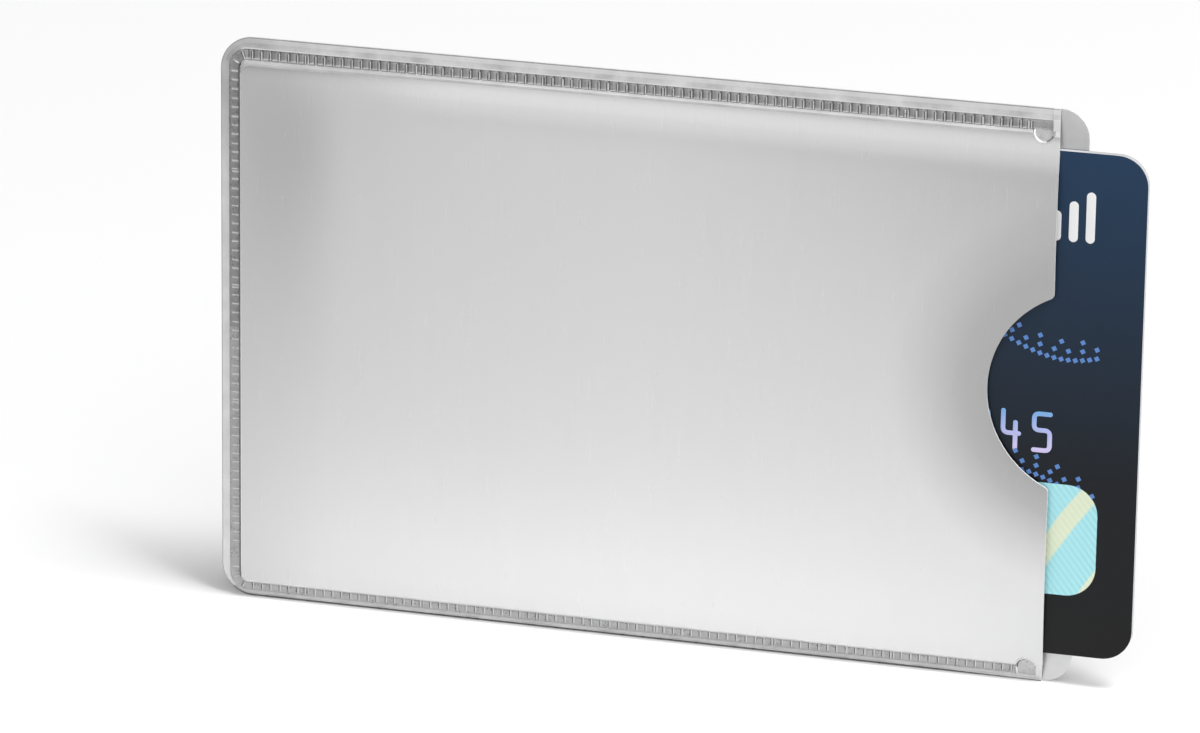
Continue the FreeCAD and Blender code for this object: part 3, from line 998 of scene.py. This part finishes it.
def square(x, z, size, turn, depth, rise):
    """Points and faces of a small printed square."""
    half = size / 2 * math.sqrt(2)
    angles = [turn + math.pi / 4 + i * math.pi / 2 for i in range(4)]
    points = [(x + half * math.cos(a), z + half * math.sin(a), depth + rise) for a in angles]
    return points, [[0, 1, 2, 3]]


def over_chip(x, z):
    """Whether a point of the card lies on the chip's contacts or close beside them."""
    if not CHIP_LEFT - DOT_CLEAR < x < CHIP_RIGHT + DOT_CLEAR:
        return False
    return CHIP_LOW - DOT_CLEAR < z < CHIP_HIGH + DOT_CLEAR


def card_dots(materials):
    """Rows of small squares that wave along the card, each row sparser than the one below it."""
    shapes = []
    for wave, height in enumerate(DOT_Z):
        for row in range(DOT_ROWS):
            for x in np.arange(CARD_LEFT + DOT_MARGIN, CARD_RIGHT - DOT_MARGIN, DOT_PITCH * (row + 1)):
                lift = DOT_WAVE * math.sin(2 * math.pi * x / DOT_WAVE_LENGTH + wave * DOT_WAVE_SHIFT)
                z = CARD_LOW + height + lift + row * DOT_ROW_GAP
                if not over_chip(x, z):
                    shapes.append(square(x, z, DOT_SIZE, DOT_TILT, CARD_FACE, DIGIT_RISE))
    return printed("card_dots", shapes, CARD_FACE, materials)


# Materials

UNIT = (0.0, 1.0)
# Sockets of the mix node that take and give a colour
MIX_FIRST, MIX_SECOND, MIX_RESULT = 6, 7, 2
MOTTLE_FROM, MOTTLE_TO = 0.3, 0.7


def new_material(name):
    """An empty node material with its shader."""
    material = bpy.data.materials.new(name)
    material.use_nodes = True
    tree = material.node_tree
    return material, tree, tree.nodes["Principled BSDF"]


def grey(value):
    """A neutral colour."""
    return (value, value, value)


def greys(*stops):
    """Stops of a ramp of neutral colours from (place, value) pairs."""
    return tuple((place, grey(value)) for place, value in stops)


def object_place(tree):
    """Where a point lies on its object."""
    return tree.nodes.new("ShaderNodeTexCoord").outputs["Object"]


def parts_of(tree, vector):
    """The X, Y and Z of a vector."""
    node = tree.nodes.new("ShaderNodeSeparateXYZ")
    tree.links.new(vector, node.inputs["Vector"])
    return node.outputs


def grain(tree, scale, detail, rough, place=(0, 0, 0)):
    """Noise over the object, stretched by a scale per metre along each axis."""
    mapping = tree.nodes.new("ShaderNodeMapping")
    mapping.inputs["Scale"].default_value = scale
    mapping.inputs["Location"].default_value = place
    texture = tree.nodes.new("ShaderNodeTexNoise")
    texture.inputs["Scale"].default_value = 1
    texture.inputs["Detail"].default_value = detail
    texture.inputs["Roughness"].default_value = rough
    tree.links.new(object_place(tree), mapping.inputs["Vector"])
    tree.links.new(mapping.outputs["Vector"], texture.inputs["Vector"])
    return texture.outputs["Fac"]


def ranged(tree, value, source=UNIT, target=UNIT, smooth=False):
    """A value spread from one range over another and held at its ends."""
    node = tree.nodes.new("ShaderNodeMapRange")
    node.interpolation_type = "SMOOTHSTEP" if smooth else "LINEAR"
    for socket, number in zip(("From Min", "From Max", "To Min", "To Max"), (*source, *target)):
        node.inputs[socket].default_value = number
    tree.links.new(value, node.inputs["Value"])
    return node.outputs["Result"]


def axis_share(tree, axis, low, high):
    """0 at one place along an axis of the object and 1 at another, in millimetres."""
    return ranged(tree, parts_of(tree, object_place(tree))[axis], (low * MM, high * MM))


def distance_share(tree, point, reach):
    """0 up to one distance from a point of the object and 1 from another on, in millimetres."""
    away = tree.nodes.new("ShaderNodeVectorMath")
    away.operation = "DISTANCE"
    away.inputs[1].default_value = [value * MM for value in point]
    tree.links.new(object_place(tree), away.inputs[0])
    return ranged(tree, away.outputs["Value"], [value * MM for value in reach])


def shades(tree, factor, stops):
    """A colour ramp over (place, colour) stops."""
    ramp = tree.nodes.new("ShaderNodeValToRGB")
    elements = ramp.color_ramp.elements
    while len(elements) < len(stops):
        elements.new(1)
    for element, (place, colour) in zip(elements, stops):
        element.position = place
        element.color = (*colour, 1)
    tree.links.new(factor, ramp.inputs["Fac"])
    return ramp.outputs["Color"]


def mottled(tree, factor, dark, light):
    """A colour that wanders between two with a noise."""
    return shades(tree, factor, ((MOTTLE_FROM, dark), (MOTTLE_TO, light)))


def mixed(tree, factor, first, second, kind="MIX"):
    """Two colours mixed by a factor."""
    node = tree.nodes.new("ShaderNodeMix")
    node.data_type = "RGBA"
    node.blend_type = kind
    if isinstance(factor, float):
        node.inputs["Factor"].default_value = factor
    else:
        tree.links.new(factor, node.inputs["Factor"])
    for number, colour in ((MIX_FIRST, first), (MIX_SECOND, second)):
        if isinstance(colour, tuple):
            node.inputs[number].default_value = (*colour, 1)
        else:
            tree.links.new(colour, node.inputs[number])
    return node.outputs[MIX_RESULT]


def painted_shade_ramp(tree, colour, factor, stops):
    """A colour multiplied by a ramp of greys."""
    return mixed(tree, 1.0, colour, shades(tree, factor, stops), "MULTIPLY")


def coat(tree, shader, colour, factor, roughness, metallic=0.0):
    """A shader's colour, its roughness over a range by a factor, and how metallic it is."""
    tree.links.new(colour, shader.inputs["Base Color"])
    tree.links.new(ranged(tree, factor, target=roughness), shader.inputs["Roughness"])
    shader.inputs["Metallic"].default_value = metallic


def bumped(tree, shader, height, strength, distance):
    """Fine relief on a shader, at a distance in millimetres."""
    node = tree.nodes.new("ShaderNodeBump")
    node.inputs["Strength"].default_value = strength
    node.inputs["Distance"].default_value = distance * MM
    tree.links.new(height, node.inputs["Height"])
    tree.links.new(node.outputs["Normal"], shader.inputs["Normal"])


# Painted shade along the film: darker towards the closed end and a little towards the mouth.
FILM_ALONG = greys((0.0, 0.86), (0.11, 0.94), (0.23, 0.97), (0.5, 1.0), (0.75, 0.985), (1.0, 0.95))
# Painted shade round the thumb notch.
NOTCH_SHADE = greys((0.0, 0.69), (0.25, 0.73), (0.6, 0.88), (1.0, 1.0))
NOTCH_SHADE_REACH = 10.0
# Painted shade on the field just below the top weld and just above the bottom weld.
FILM_TOP = greys((0.0, 1.0), (0.27, 0.975), (0.5, 0.935), (0.65, 0.88), (0.81, 0.80), (0.9, 0.78))
TOP_SHADE_REACH = 1.5
FILM_LOW = greys((0.0, 1.0), (0.6, 0.975), (1.0, 0.93))
LOW_SHADE_REACH = 6.0
BRUSH_FINE, BRUSH_BROAD = (5200, 600, 170), (700, 100, 60)
BRUSH_PLACE = (4.1, 0, 2.7)
BRUSH_MIX = 0.35
FILM_GREYS = (grey(0.69), grey(0.71))
FILM_ROUGHNESS = (0.24, 0.29)


def brushed_film(name, with_painted_shade=False):
    """Metallised film with a fine upright brush grain, with painted shade that darkens it towards the closed
    end.

    Where asked, painted shade also darkens it just inside the top and bottom welds and round the thumb notch.
    """
    material, tree, shader = new_material(name)
    fine = grain(tree, BRUSH_FINE, detail=4.0, rough=0.6)
    broad = grain(tree, BRUSH_BROAD, detail=3.0, rough=0.5, place=BRUSH_PLACE)
    colour = mottled(tree, mixed(tree, BRUSH_MIX, fine, broad), *FILM_GREYS)
    colour = painted_shade_ramp(tree, colour, axis_share(tree, "X", FIELD_LEFT, MOUTH_X), FILM_ALONG)
    # Painted shade round the thumb notch and just inside the top and bottom welds.
    if with_painted_shade:
        notch_shade_span = (NOTCH_RADIUS, NOTCH_RADIUS + NOTCH_SHADE_REACH)
        from_notch = distance_share(tree, (NOTCH_X, -OUTER, NOTCH_Z), notch_shade_span)
        to_top = axis_share(tree, "Z", FIELD_HIGH - TOP_SHADE_REACH, FIELD_HIGH)
        to_low = axis_share(tree, "Z", FIELD_LOW + LOW_SHADE_REACH, FIELD_LOW)
        for factor, stops in ((from_notch, NOTCH_SHADE), (to_top, FILM_TOP), (to_low, FILM_LOW)):
            colour = painted_shade_ramp(tree, colour, factor, stops)
    coat(tree, shader, colour, fine, FILM_ROUGHNESS, 1.0)
    bumped(tree, shader, fine, strength=0.015, distance=0.005)
    return material


# Painted shade round the margin's upper corner at the closed end.
CORNER_SHADE = greys((0.0, 0.76), (0.15, 0.82), (0.55, 0.93), (1.0, 1.0))
CORNER_SHADE_REACH = (3.5, 12.0)
SATIN_CLOUD, SATIN_FINE = (420, 420, 420), (6000, 6000, 6000)
SATIN_SPREAD = 0.06


def satin_film(name, dark, light, roughness, metallic=0.35, corner_shade=False):
    """Plain film of the margin and lip, faintly clouded, with painted shade round the upper corner where
    asked.
    """
    material, tree, shader = new_material(name)
    cloud = grain(tree, SATIN_CLOUD, detail=4.0, rough=0.55)
    fine = grain(tree, SATIN_FINE, detail=2.0, rough=0.5)
    colour = mottled(tree, cloud, grey(dark), grey(light))
    if corner_shade:
        corner = (END_X + END_MARGIN / 2, -2 * SHEET, HIGH_Z - END_CORNER)
        colour = painted_shade_ramp(tree, colour, distance_share(tree, corner, CORNER_SHADE_REACH), CORNER_SHADE)
    coat(tree, shader, colour, cloud, (roughness - SATIN_SPREAD, roughness + SATIN_SPREAD), metallic)
    bumped(tree, shader, fine, strength=0.1, distance=0.01)
    return material


WELD_CLOUD = (1500, 1500, 1500)
WELD_ROUGHNESS = (0.22, 0.36)
WELD_METALLIC = 0.55


def weld_film(name, dark, light):
    """Fused film of the weld: darker, glossier and slightly uneven."""
    material, tree, shader = new_material(name)
    cloud = grain(tree, WELD_CLOUD, detail=3.0, rough=0.6)
    coat(tree, shader, mottled(tree, cloud, grey(dark), grey(light)), cloud, WELD_ROUGHNESS, WELD_METALLIC)
    bumped(tree, shader, cloud, strength=0.2, distance=0.02)
    return material


CARD_SPECKLE, CARD_CLOUD = (9000, 9000, 9000), (260, 260, 260)
CARD_CLOUD_SHARE = 0.10
CARD_SPREAD = 0.05
CARD_SPECULAR = 0.2


def card_plastic(name, stops, low=CARD_LOW, high=CARD_HIGH, roughness=0.34):
    """Printed card face whose colour changes with height, under a clear laminate."""
    material, tree, shader = new_material(name)
    speckle = grain(tree, CARD_SPECKLE, detail=2.0, rough=0.5)
    cloud = grain(tree, CARD_CLOUD, detail=3.0, rough=0.5)
    cloud = ranged(tree, cloud, target=(0.0, CARD_CLOUD_SHARE))
    colour = mixed(tree, cloud, shades(tree, axis_share(tree, "Z", low, high), stops), grey(0.0))
    coat(tree, shader, colour, speckle, (roughness - CARD_SPREAD, roughness + CARD_SPREAD))
    shader.inputs["Specular IOR Level"].default_value = CARD_SPECULAR
    bumped(tree, shader, speckle, strength=0.05, distance=0.005)
    return material


PATCH_LINES = {"scale": 560, "turn": 38, "distortion": 0.0}
PATCH_BANDS = {"scale": 52, "turn": -32, "distortion": 1.2}
PATCH_CYANS = ((0.0, (0.30, 0.63, 0.68)), (1.0, (0.35, 0.68, 0.73)))
PATCH_SAND = (0.72, 0.70, 0.45)
PATCH_SAND_SHARES = greys((0.74, 0.0), (0.82, 0.75))
PATCH_ROUGHNESS = (0.22, 0.32)


def stripes(tree, scale, turn, distortion):
    """Even stripes over the object, turned by an angle in degrees."""
    mapping = tree.nodes.new("ShaderNodeMapping")
    mapping.inputs["Rotation"].default_value = (0, math.radians(turn), 0)
    wave = tree.nodes.new("ShaderNodeTexWave")
    wave.inputs["Scale"].default_value = scale
    wave.inputs["Distortion"].default_value = distortion
    tree.links.new(object_place(tree), mapping.inputs["Vector"])
    tree.links.new(mapping.outputs["Vector"], wave.inputs["Vector"])
    return wave.outputs["Fac"]


def patch_print():
    """Pale cyan patch with fine slanted lines and soft sand-coloured bands."""
    material, tree, shader = new_material("patch_print")
    fine = stripes(tree, **PATCH_LINES)
    bands = shades(tree, stripes(tree, **PATCH_BANDS), PATCH_SAND_SHARES)
    coat(tree, shader, mixed(tree, bands, shades(tree, fine, PATCH_CYANS), PATCH_SAND), fine, PATCH_ROUGHNESS)
    bumped(tree, shader, fine, strength=0.1, distance=0.005)
    return material


CONTACT_GROOVE = 0.02
METAL_SPREAD = 0.06


def metal(name, dark, light, roughness, scale, groove=None):
    """Plain metal with a fine mottle, and of another colour where it lies sunk in the card's face."""
    material, tree, shader = new_material(name)
    cloud = grain(tree, (scale, scale, scale), detail=3.0, rough=0.5)
    colour = mottled(tree, cloud, dark, light)
    if groove:
        sunk = axis_share(tree, "Y", -CARD_FACE, -CARD_FACE + CONTACT_GROOVE)
        colour = mixed(tree, sunk, colour, groove)
    coat(tree, shader, colour, cloud, (roughness - METAL_SPREAD, roughness + METAL_SPREAD), 1.0)
    bumped(tree, shader, cloud, strength=0.1, distance=0.01)
    return material


# The object, its films by darkest and lightest grey, then roughness and how metallic they are

film = brushed_film("brushed_film", with_painted_shade=True)
rear_film = brushed_film("rear_film")
film_edge = satin_film("film_edge", 0.74, 0.84, 0.4, 0.0)
margin_film = satin_film("margin_film", 0.56, 0.66, 0.36, corner_shade=True)
lip_film = satin_film("lip_film", 0.55, 0.62, 0.36, 0.7)
# Darker, more mottled margin film; along the bottom it is painted contact shadow.
dark_margin_film = satin_film("dark_margin_film", 0.42, 0.64, 0.4, corner_shade=True)
# A lighter copy of the margin film for the bead: painted highlight.
bead_film = satin_film("bead_film", 0.60, 0.70, 0.36)
# A dark band of film below the top rail: painted shade.
roll_film = satin_film("roll_film", 0.34, 0.42, 0.5, 0.2)
cut_edge = satin_film("cut_edge", 0.26, 0.34, 0.5)
# A lighter shoulder film that paints the top rail's highlight, and a darker copy that paints shade along the
# bottom.
shoulder_film = satin_film("shoulder_film", 0.69, 0.79, 0.32, 0.6)
low_shoulder = satin_film("low_shoulder_film", 0.56, 0.68, 0.32, 0.6)
weld_surface = weld_film("weld_film", 0.24, 0.32)
# Lighter and darker copies of the weld film: painted highlight and painted shade.
painted_highlight_surface = weld_film("painted_highlight_film", 0.52, 0.64)
painted_shade_surface = weld_film("painted_shade_film", 0.10, 0.16)
spot_surface = weld_film("spot_film", 0.40, 0.52)
# A pale satin wall for the spot welds: painted highlight.
spot_wall = satin_film("spot_wall", 0.78, 0.86, 0.45)
# A lighter copy of the weld film: painted light.
painted_light_surface = weld_film("painted_light_film", 0.33, 0.41)
dull_spot = weld_film("dull_spot_film", 0.40, 0.50)
trace_surface = weld_film("trace_film", 0.46, 0.56)

front_sheet([film, film_edge, painted_shade_surface, shoulder_film, roll_film, painted_light_surface, low_shoulder])
seam_margin([margin_film, cut_edge, film_edge, painted_shade_surface, dark_margin_film, bead_film])
seam_run = weld_run()
weld_ladder(seam_run, [weld_surface, painted_highlight_surface, margin_film, painted_shade_surface, film_edge, painted_light_surface])
weld_trace(seam_run, [trace_surface, rear_film])
spot_weld("spot_weld_top", 1, TOP_SPOT_SHADE, [spot_surface, film, weld_surface, spot_wall])
spot_weld("spot_weld_bottom", -1, LOW_SPOT_SHADE, [dull_spot, film, painted_shade_surface, spot_wall])
rear_sheet([lip_film, rear_film, film_edge])

DIGIT_COLOURS = ((0.0, (0.60, 0.52, 0.78)), (0.5, (0.42, 0.46, 0.76)), (1.0, (0.17, 0.38, 0.70)))
DOT_COLOURS = ((0.0, (0.09, 0.20, 0.48)), (1.0, (0.11, 0.24, 0.56)))
FRONT_COLOURS = (
    (0.0, (0.006, 0.006, 0.006)),
    (0.35, (0.006, 0.008, 0.011)),
    (0.62, (0.010, 0.021, 0.040)),
    (1.0, (0.014, 0.040, 0.088)),
)
CORE_COLOURS = ((0.0, (0.55, 0.56, 0.57)), (1.0, (0.57, 0.58, 0.60)))
BACK_COLOURS = ((0.0, grey(0.028)), (1.0, (0.024, 0.035, 0.06)))
CORE_ROUGHNESS = 0.45
TAPE_BROWNS = ((0.012, 0.010, 0.009), (0.03, 0.026, 0.022))
COPPERS = ((0.55, 0.24, 0.12), (0.72, 0.36, 0.2))
GOLDS = ((0.66, 0.48, 0.20), (0.72, 0.53, 0.23))
GOLD_GROOVE = (0.10, 0.07, 0.03)
digit_low = CARD_LOW + DIGIT_BASE
card_number([card_plastic("digit_ink", DIGIT_COLOURS, digit_low, digit_low + DIGIT_HEIGHT)])
card_bars([card_plastic("white_ink", greys((0.0, 0.74), (1.0, 0.80)))])
card_dots([card_plastic("dot_ink", DOT_COLOURS)])

node_materials = {
    "card_front_overlay": card_plastic("card_front", FRONT_COLOURS),
    "card_inlay": card_plastic("card_core", CORE_COLOURS, roughness=CORE_ROUGHNESS),
    "card_back_overlay": card_plastic("card_back", BACK_COLOURS),
    "card_magnetic_stripe": metal("stripe_tape", *TAPE_BROWNS, roughness=0.4, scale=1800),
    "card_antenna": metal("copper_track", *COPPERS, roughness=0.35, scale=900),
    "card_chip_module": metal("gold_contacts", *GOLDS, roughness=0.28, scale=700, groove=GOLD_GROOVE),
    "card_security_patch": patch_print(),
}
for node, material in node_materials.items():
    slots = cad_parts[node].data.materials
    slots.clear()
    slots.append(material)


# Studio, in metres apart from the places on the floor that turn white

FLOOR_Z = LOW_Z * MM
FLOOR_SIZE = 6.0
FLOOR_GREY = 0.86
FLOOR_GLOW = 0.05
POOL_TURN = math.radians(18)
POOL_LENGTH = 0.08
POOL_HALF_WIDTH = 0.115
POOL_EDGE_POWER = 4
POOL_SHARE = 0.32
POOL_FAR = 0.345
FLOOR_SIDE = 0.43
POOL_SHIFT = 0.008
POOL_NARROWS = 1.6
POOL_RISE = 0.045
POOL_RISES_FROM = 1.8
POOL_RISES_TO = 3.6
LEFT_DRAWN = 0.9
LEFT_DRAWN_FROM = 1.9
LEFT_DRAWN_TO = 2.2
FADE_FROM = 0.02
FADE_TO = 0.065
WHITE_ROUND = (0, -600, LOW_Z)
WHITE_REACH = (740, 1300)
WORLD_SHADES = greys((0.0, 1.0), (0.22, 1.0), (0.5, 0.45), (1.0, 0.4))
WORLD_DIM = 0.92
DIM_TOWARDS = (-0.5, 0.87)
DIM_FROM = -0.3
DIM_TO = 0.5
DIM_ABOVE = 0.12
LAMPS = (
    ("key", (0.8, -0.32, 1.9), 0.7, 33.0),
    ("side", (0.55, -0.7, 0.75), 1.0, 4.5),
    ("fill", (-0.55, -0.8, 0.7), 1.0, 1.5),
)
CAMERA_PLACE = Vector((0.186056, -0.701311, 0.238584))
CAMERA_TARGET = Vector((-0.004875, 0, -0.001485))
CAMERA_ROLL = math.radians(0.789)
CAMERA_LENS = 221.31
CAMERA_SENSOR = 36


def math_node(tree, operation, *values):
    """One sum of numbers or outputs."""
    node = tree.nodes.new("ShaderNodeMath")
    node.operation = operation
    for socket, value in zip(node.inputs, values):
        if isinstance(value, (int, float)):
            socket.default_value = value
        else:
            tree.links.new(value, socket)
    return node.outputs[0]


def weighted(tree, first, first_share, second, second_share):
    """The sum of two outputs, each times a number."""
    first = math_node(tree, "MULTIPLY", first, first_share)
    return math_node(tree, "ADD", first, math_node(tree, "MULTIPLY", second, second_share))


def floor_tone(tree):
    """The floor's brightness: white round the object and behind it, and in front a pool of light.

    The pool fades along its length and to its sides, so that the film mirrors a soft change of grey.
    """
    place = parts_of(tree, object_place(tree))
    x, y = place["X"], place["Y"]
    sine, cosine = math.sin(POOL_TURN), math.cos(POOL_TURN)
    along = weighted(tree, x, -sine / POOL_LENGTH, y, -cosine / POOL_LENGTH)
    shifted = math_node(tree, "ADD", x, POOL_SHIFT)
    across = weighted(tree, shifted, cosine / POOL_HALF_WIDTH, y, -sine / POOL_HALF_WIDTH)
    drawn = ranged(tree, along, (LEFT_DRAWN_FROM, LEFT_DRAWN_TO), (0.0, LEFT_DRAWN), smooth=True)
    left = math_node(tree, "MULTIPLY", math_node(tree, "MINIMUM", across, 0), drawn)
    across = math_node(tree, "ADD", across, left)
    narrow = math_node(tree, "MINIMUM", along, POOL_NARROWS)
    aside = math_node(tree, "ABSOLUTE", math_node(tree, "MULTIPLY", across, narrow))
    inside = math_node(tree, "POWER", math.exp(-1), math_node(tree, "POWER", aside, POOL_EDGE_POWER))
    near = math_node(tree, "MULTIPLY", math_node(tree, "POWER", math.exp(-1), along), POOL_SHARE)
    beyond = math_node(tree, "MINIMUM", math_node(tree, "MAXIMUM", along, POOL_RISES_FROM), POOL_RISES_TO)
    far = math_node(tree, "MULTIPLY", math_node(tree, "SUBTRACT", beyond, POOL_RISES_FROM), POOL_RISE)
    lane = math_node(tree, "ADD", math_node(tree, "ADD", near, far), POOL_FAR)
    lit = math_node(tree, "ADD", math_node(tree, "MULTIPLY", lane, inside), FLOOR_SIDE)
    front = ranged(tree, y, (-FADE_FROM, -FADE_TO), smooth=True)
    change = math_node(tree, "MULTIPLY", math_node(tree, "SUBTRACT", lit, 1.0), front)
    return math_node(tree, "ADD", change, 1.0)


def studio_floor():
    """A white floor with a painted pool of light in front; it keeps the shadow and runs out into a white
    backdrop far off.
    """
    mesh = bpy.data.meshes.new("floor")
    half = FLOOR_SIZE / 2
    corners = [(-half, -half, FLOOR_Z), (half, -half, FLOOR_Z), (half, half, FLOOR_Z), (-half, half, FLOOR_Z)]
    mesh.from_pydata(corners, [], [(0, 1, 2, 3)])
    material = bpy.data.materials.new("floor")
    material.use_nodes = True
    tree = material.node_tree
    tree.nodes.clear()
    tone = floor_tone(tree)
    path = tree.nodes.new("ShaderNodeLightPath").outputs
    mirrored = math_node(tree, "MAXIMUM", path["Is Glossy Ray"], path["Is Transmission Ray"])
    seen = math_node(tree, "MAXIMUM", path["Is Camera Ray"], mirrored)
    matte = tree.nodes.new("ShaderNodeBsdfDiffuse")
    tree.links.new(mixed(tree, 1.0, tone, grey(FLOOR_GREY), "MULTIPLY"), matte.inputs["Color"])
    glow = tree.nodes.new("ShaderNodeEmission")
    tree.links.new(tone, glow.inputs["Color"])
    tree.links.new(math_node(tree, "MULTIPLY", seen, FLOOR_GLOW), glow.inputs["Strength"])
    both = tree.nodes.new("ShaderNodeAddShader")
    tree.links.new(matte.outputs[0], both.inputs[0])
    tree.links.new(glow.outputs[0], both.inputs[1])
    white = tree.nodes.new("ShaderNodeEmission")
    white.inputs["Color"].default_value = (*grey(1.0), 1.0)
    white.inputs["Strength"].default_value = 1.0
    blend = tree.nodes.new("ShaderNodeMixShader")
    away = distance_share(tree, WHITE_ROUND, WHITE_REACH)
    tree.links.new(math_node(tree, "MULTIPLY", away, seen), blend.inputs["Fac"])
    tree.links.new(both.outputs[0], blend.inputs[1])
    tree.links.new(white.outputs[0], blend.inputs[2])
    output = tree.nodes.new("ShaderNodeOutputMaterial")
    tree.links.new(blend.outputs[0], output.inputs["Surface"])
    mesh.materials.append(material)
    floor = bpy.data.objects.new("floor", mesh)
    bpy.context.scene.collection.objects.link(floor)


def studio_world():
    """Soft grey surroundings, white low down and dimmer behind the object and to its left."""
    world = bpy.data.worlds.new("studio")
    bpy.context.scene.world = world
    world.use_nodes = True
    tree = world.node_tree
    background = tree.nodes["Background"]
    ray = parts_of(tree, tree.nodes.new("ShaderNodeTexCoord").outputs["Generated"])
    colour = shades(tree, ray["Z"], WORLD_SHADES)
    towards = weighted(tree, ray["X"], DIM_TOWARDS[0], ray["Y"], DIM_TOWARDS[1])
    behind = ranged(tree, towards, (DIM_FROM, DIM_TO), smooth=True)
    risen = ranged(tree, ray["Z"], (DIM_ABOVE, 2 * DIM_ABOVE), (0.0, WORLD_DIM))
    dim = math_node(tree, "MULTIPLY", behind, risen)
    tree.links.new(mixed(tree, dim, colour, grey(0.0)), background.inputs["Color"])
    background.inputs["Strength"].default_value = 1.0


def soft_lamp(name, place, size, watts):
    """A square softbox aimed at the object."""
    light = bpy.data.lights.new(name, "AREA")
    light.shape = "SQUARE"
    light.size = size
    light.energy = watts
    lamp = bpy.data.objects.new(name, light)
    lamp.location = place
    lamp.rotation_euler = (-Vector(place)).to_track_quat("-Z", "Y").to_euler()
    bpy.context.scene.collection.objects.link(lamp)


def studio_camera():
    """The camera at the photograph's angle."""
    camera = bpy.data.cameras.new("camera")
    camera.sensor_fit = "HORIZONTAL"
    camera.sensor_width = CAMERA_SENSOR
    camera.lens = CAMERA_LENS
    holder = bpy.data.objects.new("camera", camera)
    holder.location = CAMERA_PLACE
    aim = (CAMERA_TARGET - CAMERA_PLACE).to_track_quat("-Z", "Y")
    holder.rotation_mode = "QUATERNION"
    holder.rotation_quaternion = aim @ Quaternion((0, 0, 1), CAMERA_ROLL)
    bpy.context.scene.collection.objects.link(holder)
    bpy.context.scene.camera = holder


studio_floor()
studio_world()
for lamp_row in LAMPS:
    soft_lamp(*lamp_row)
studio_camera()
bpy.context.scene.view_settings.view_transform = "Standard"
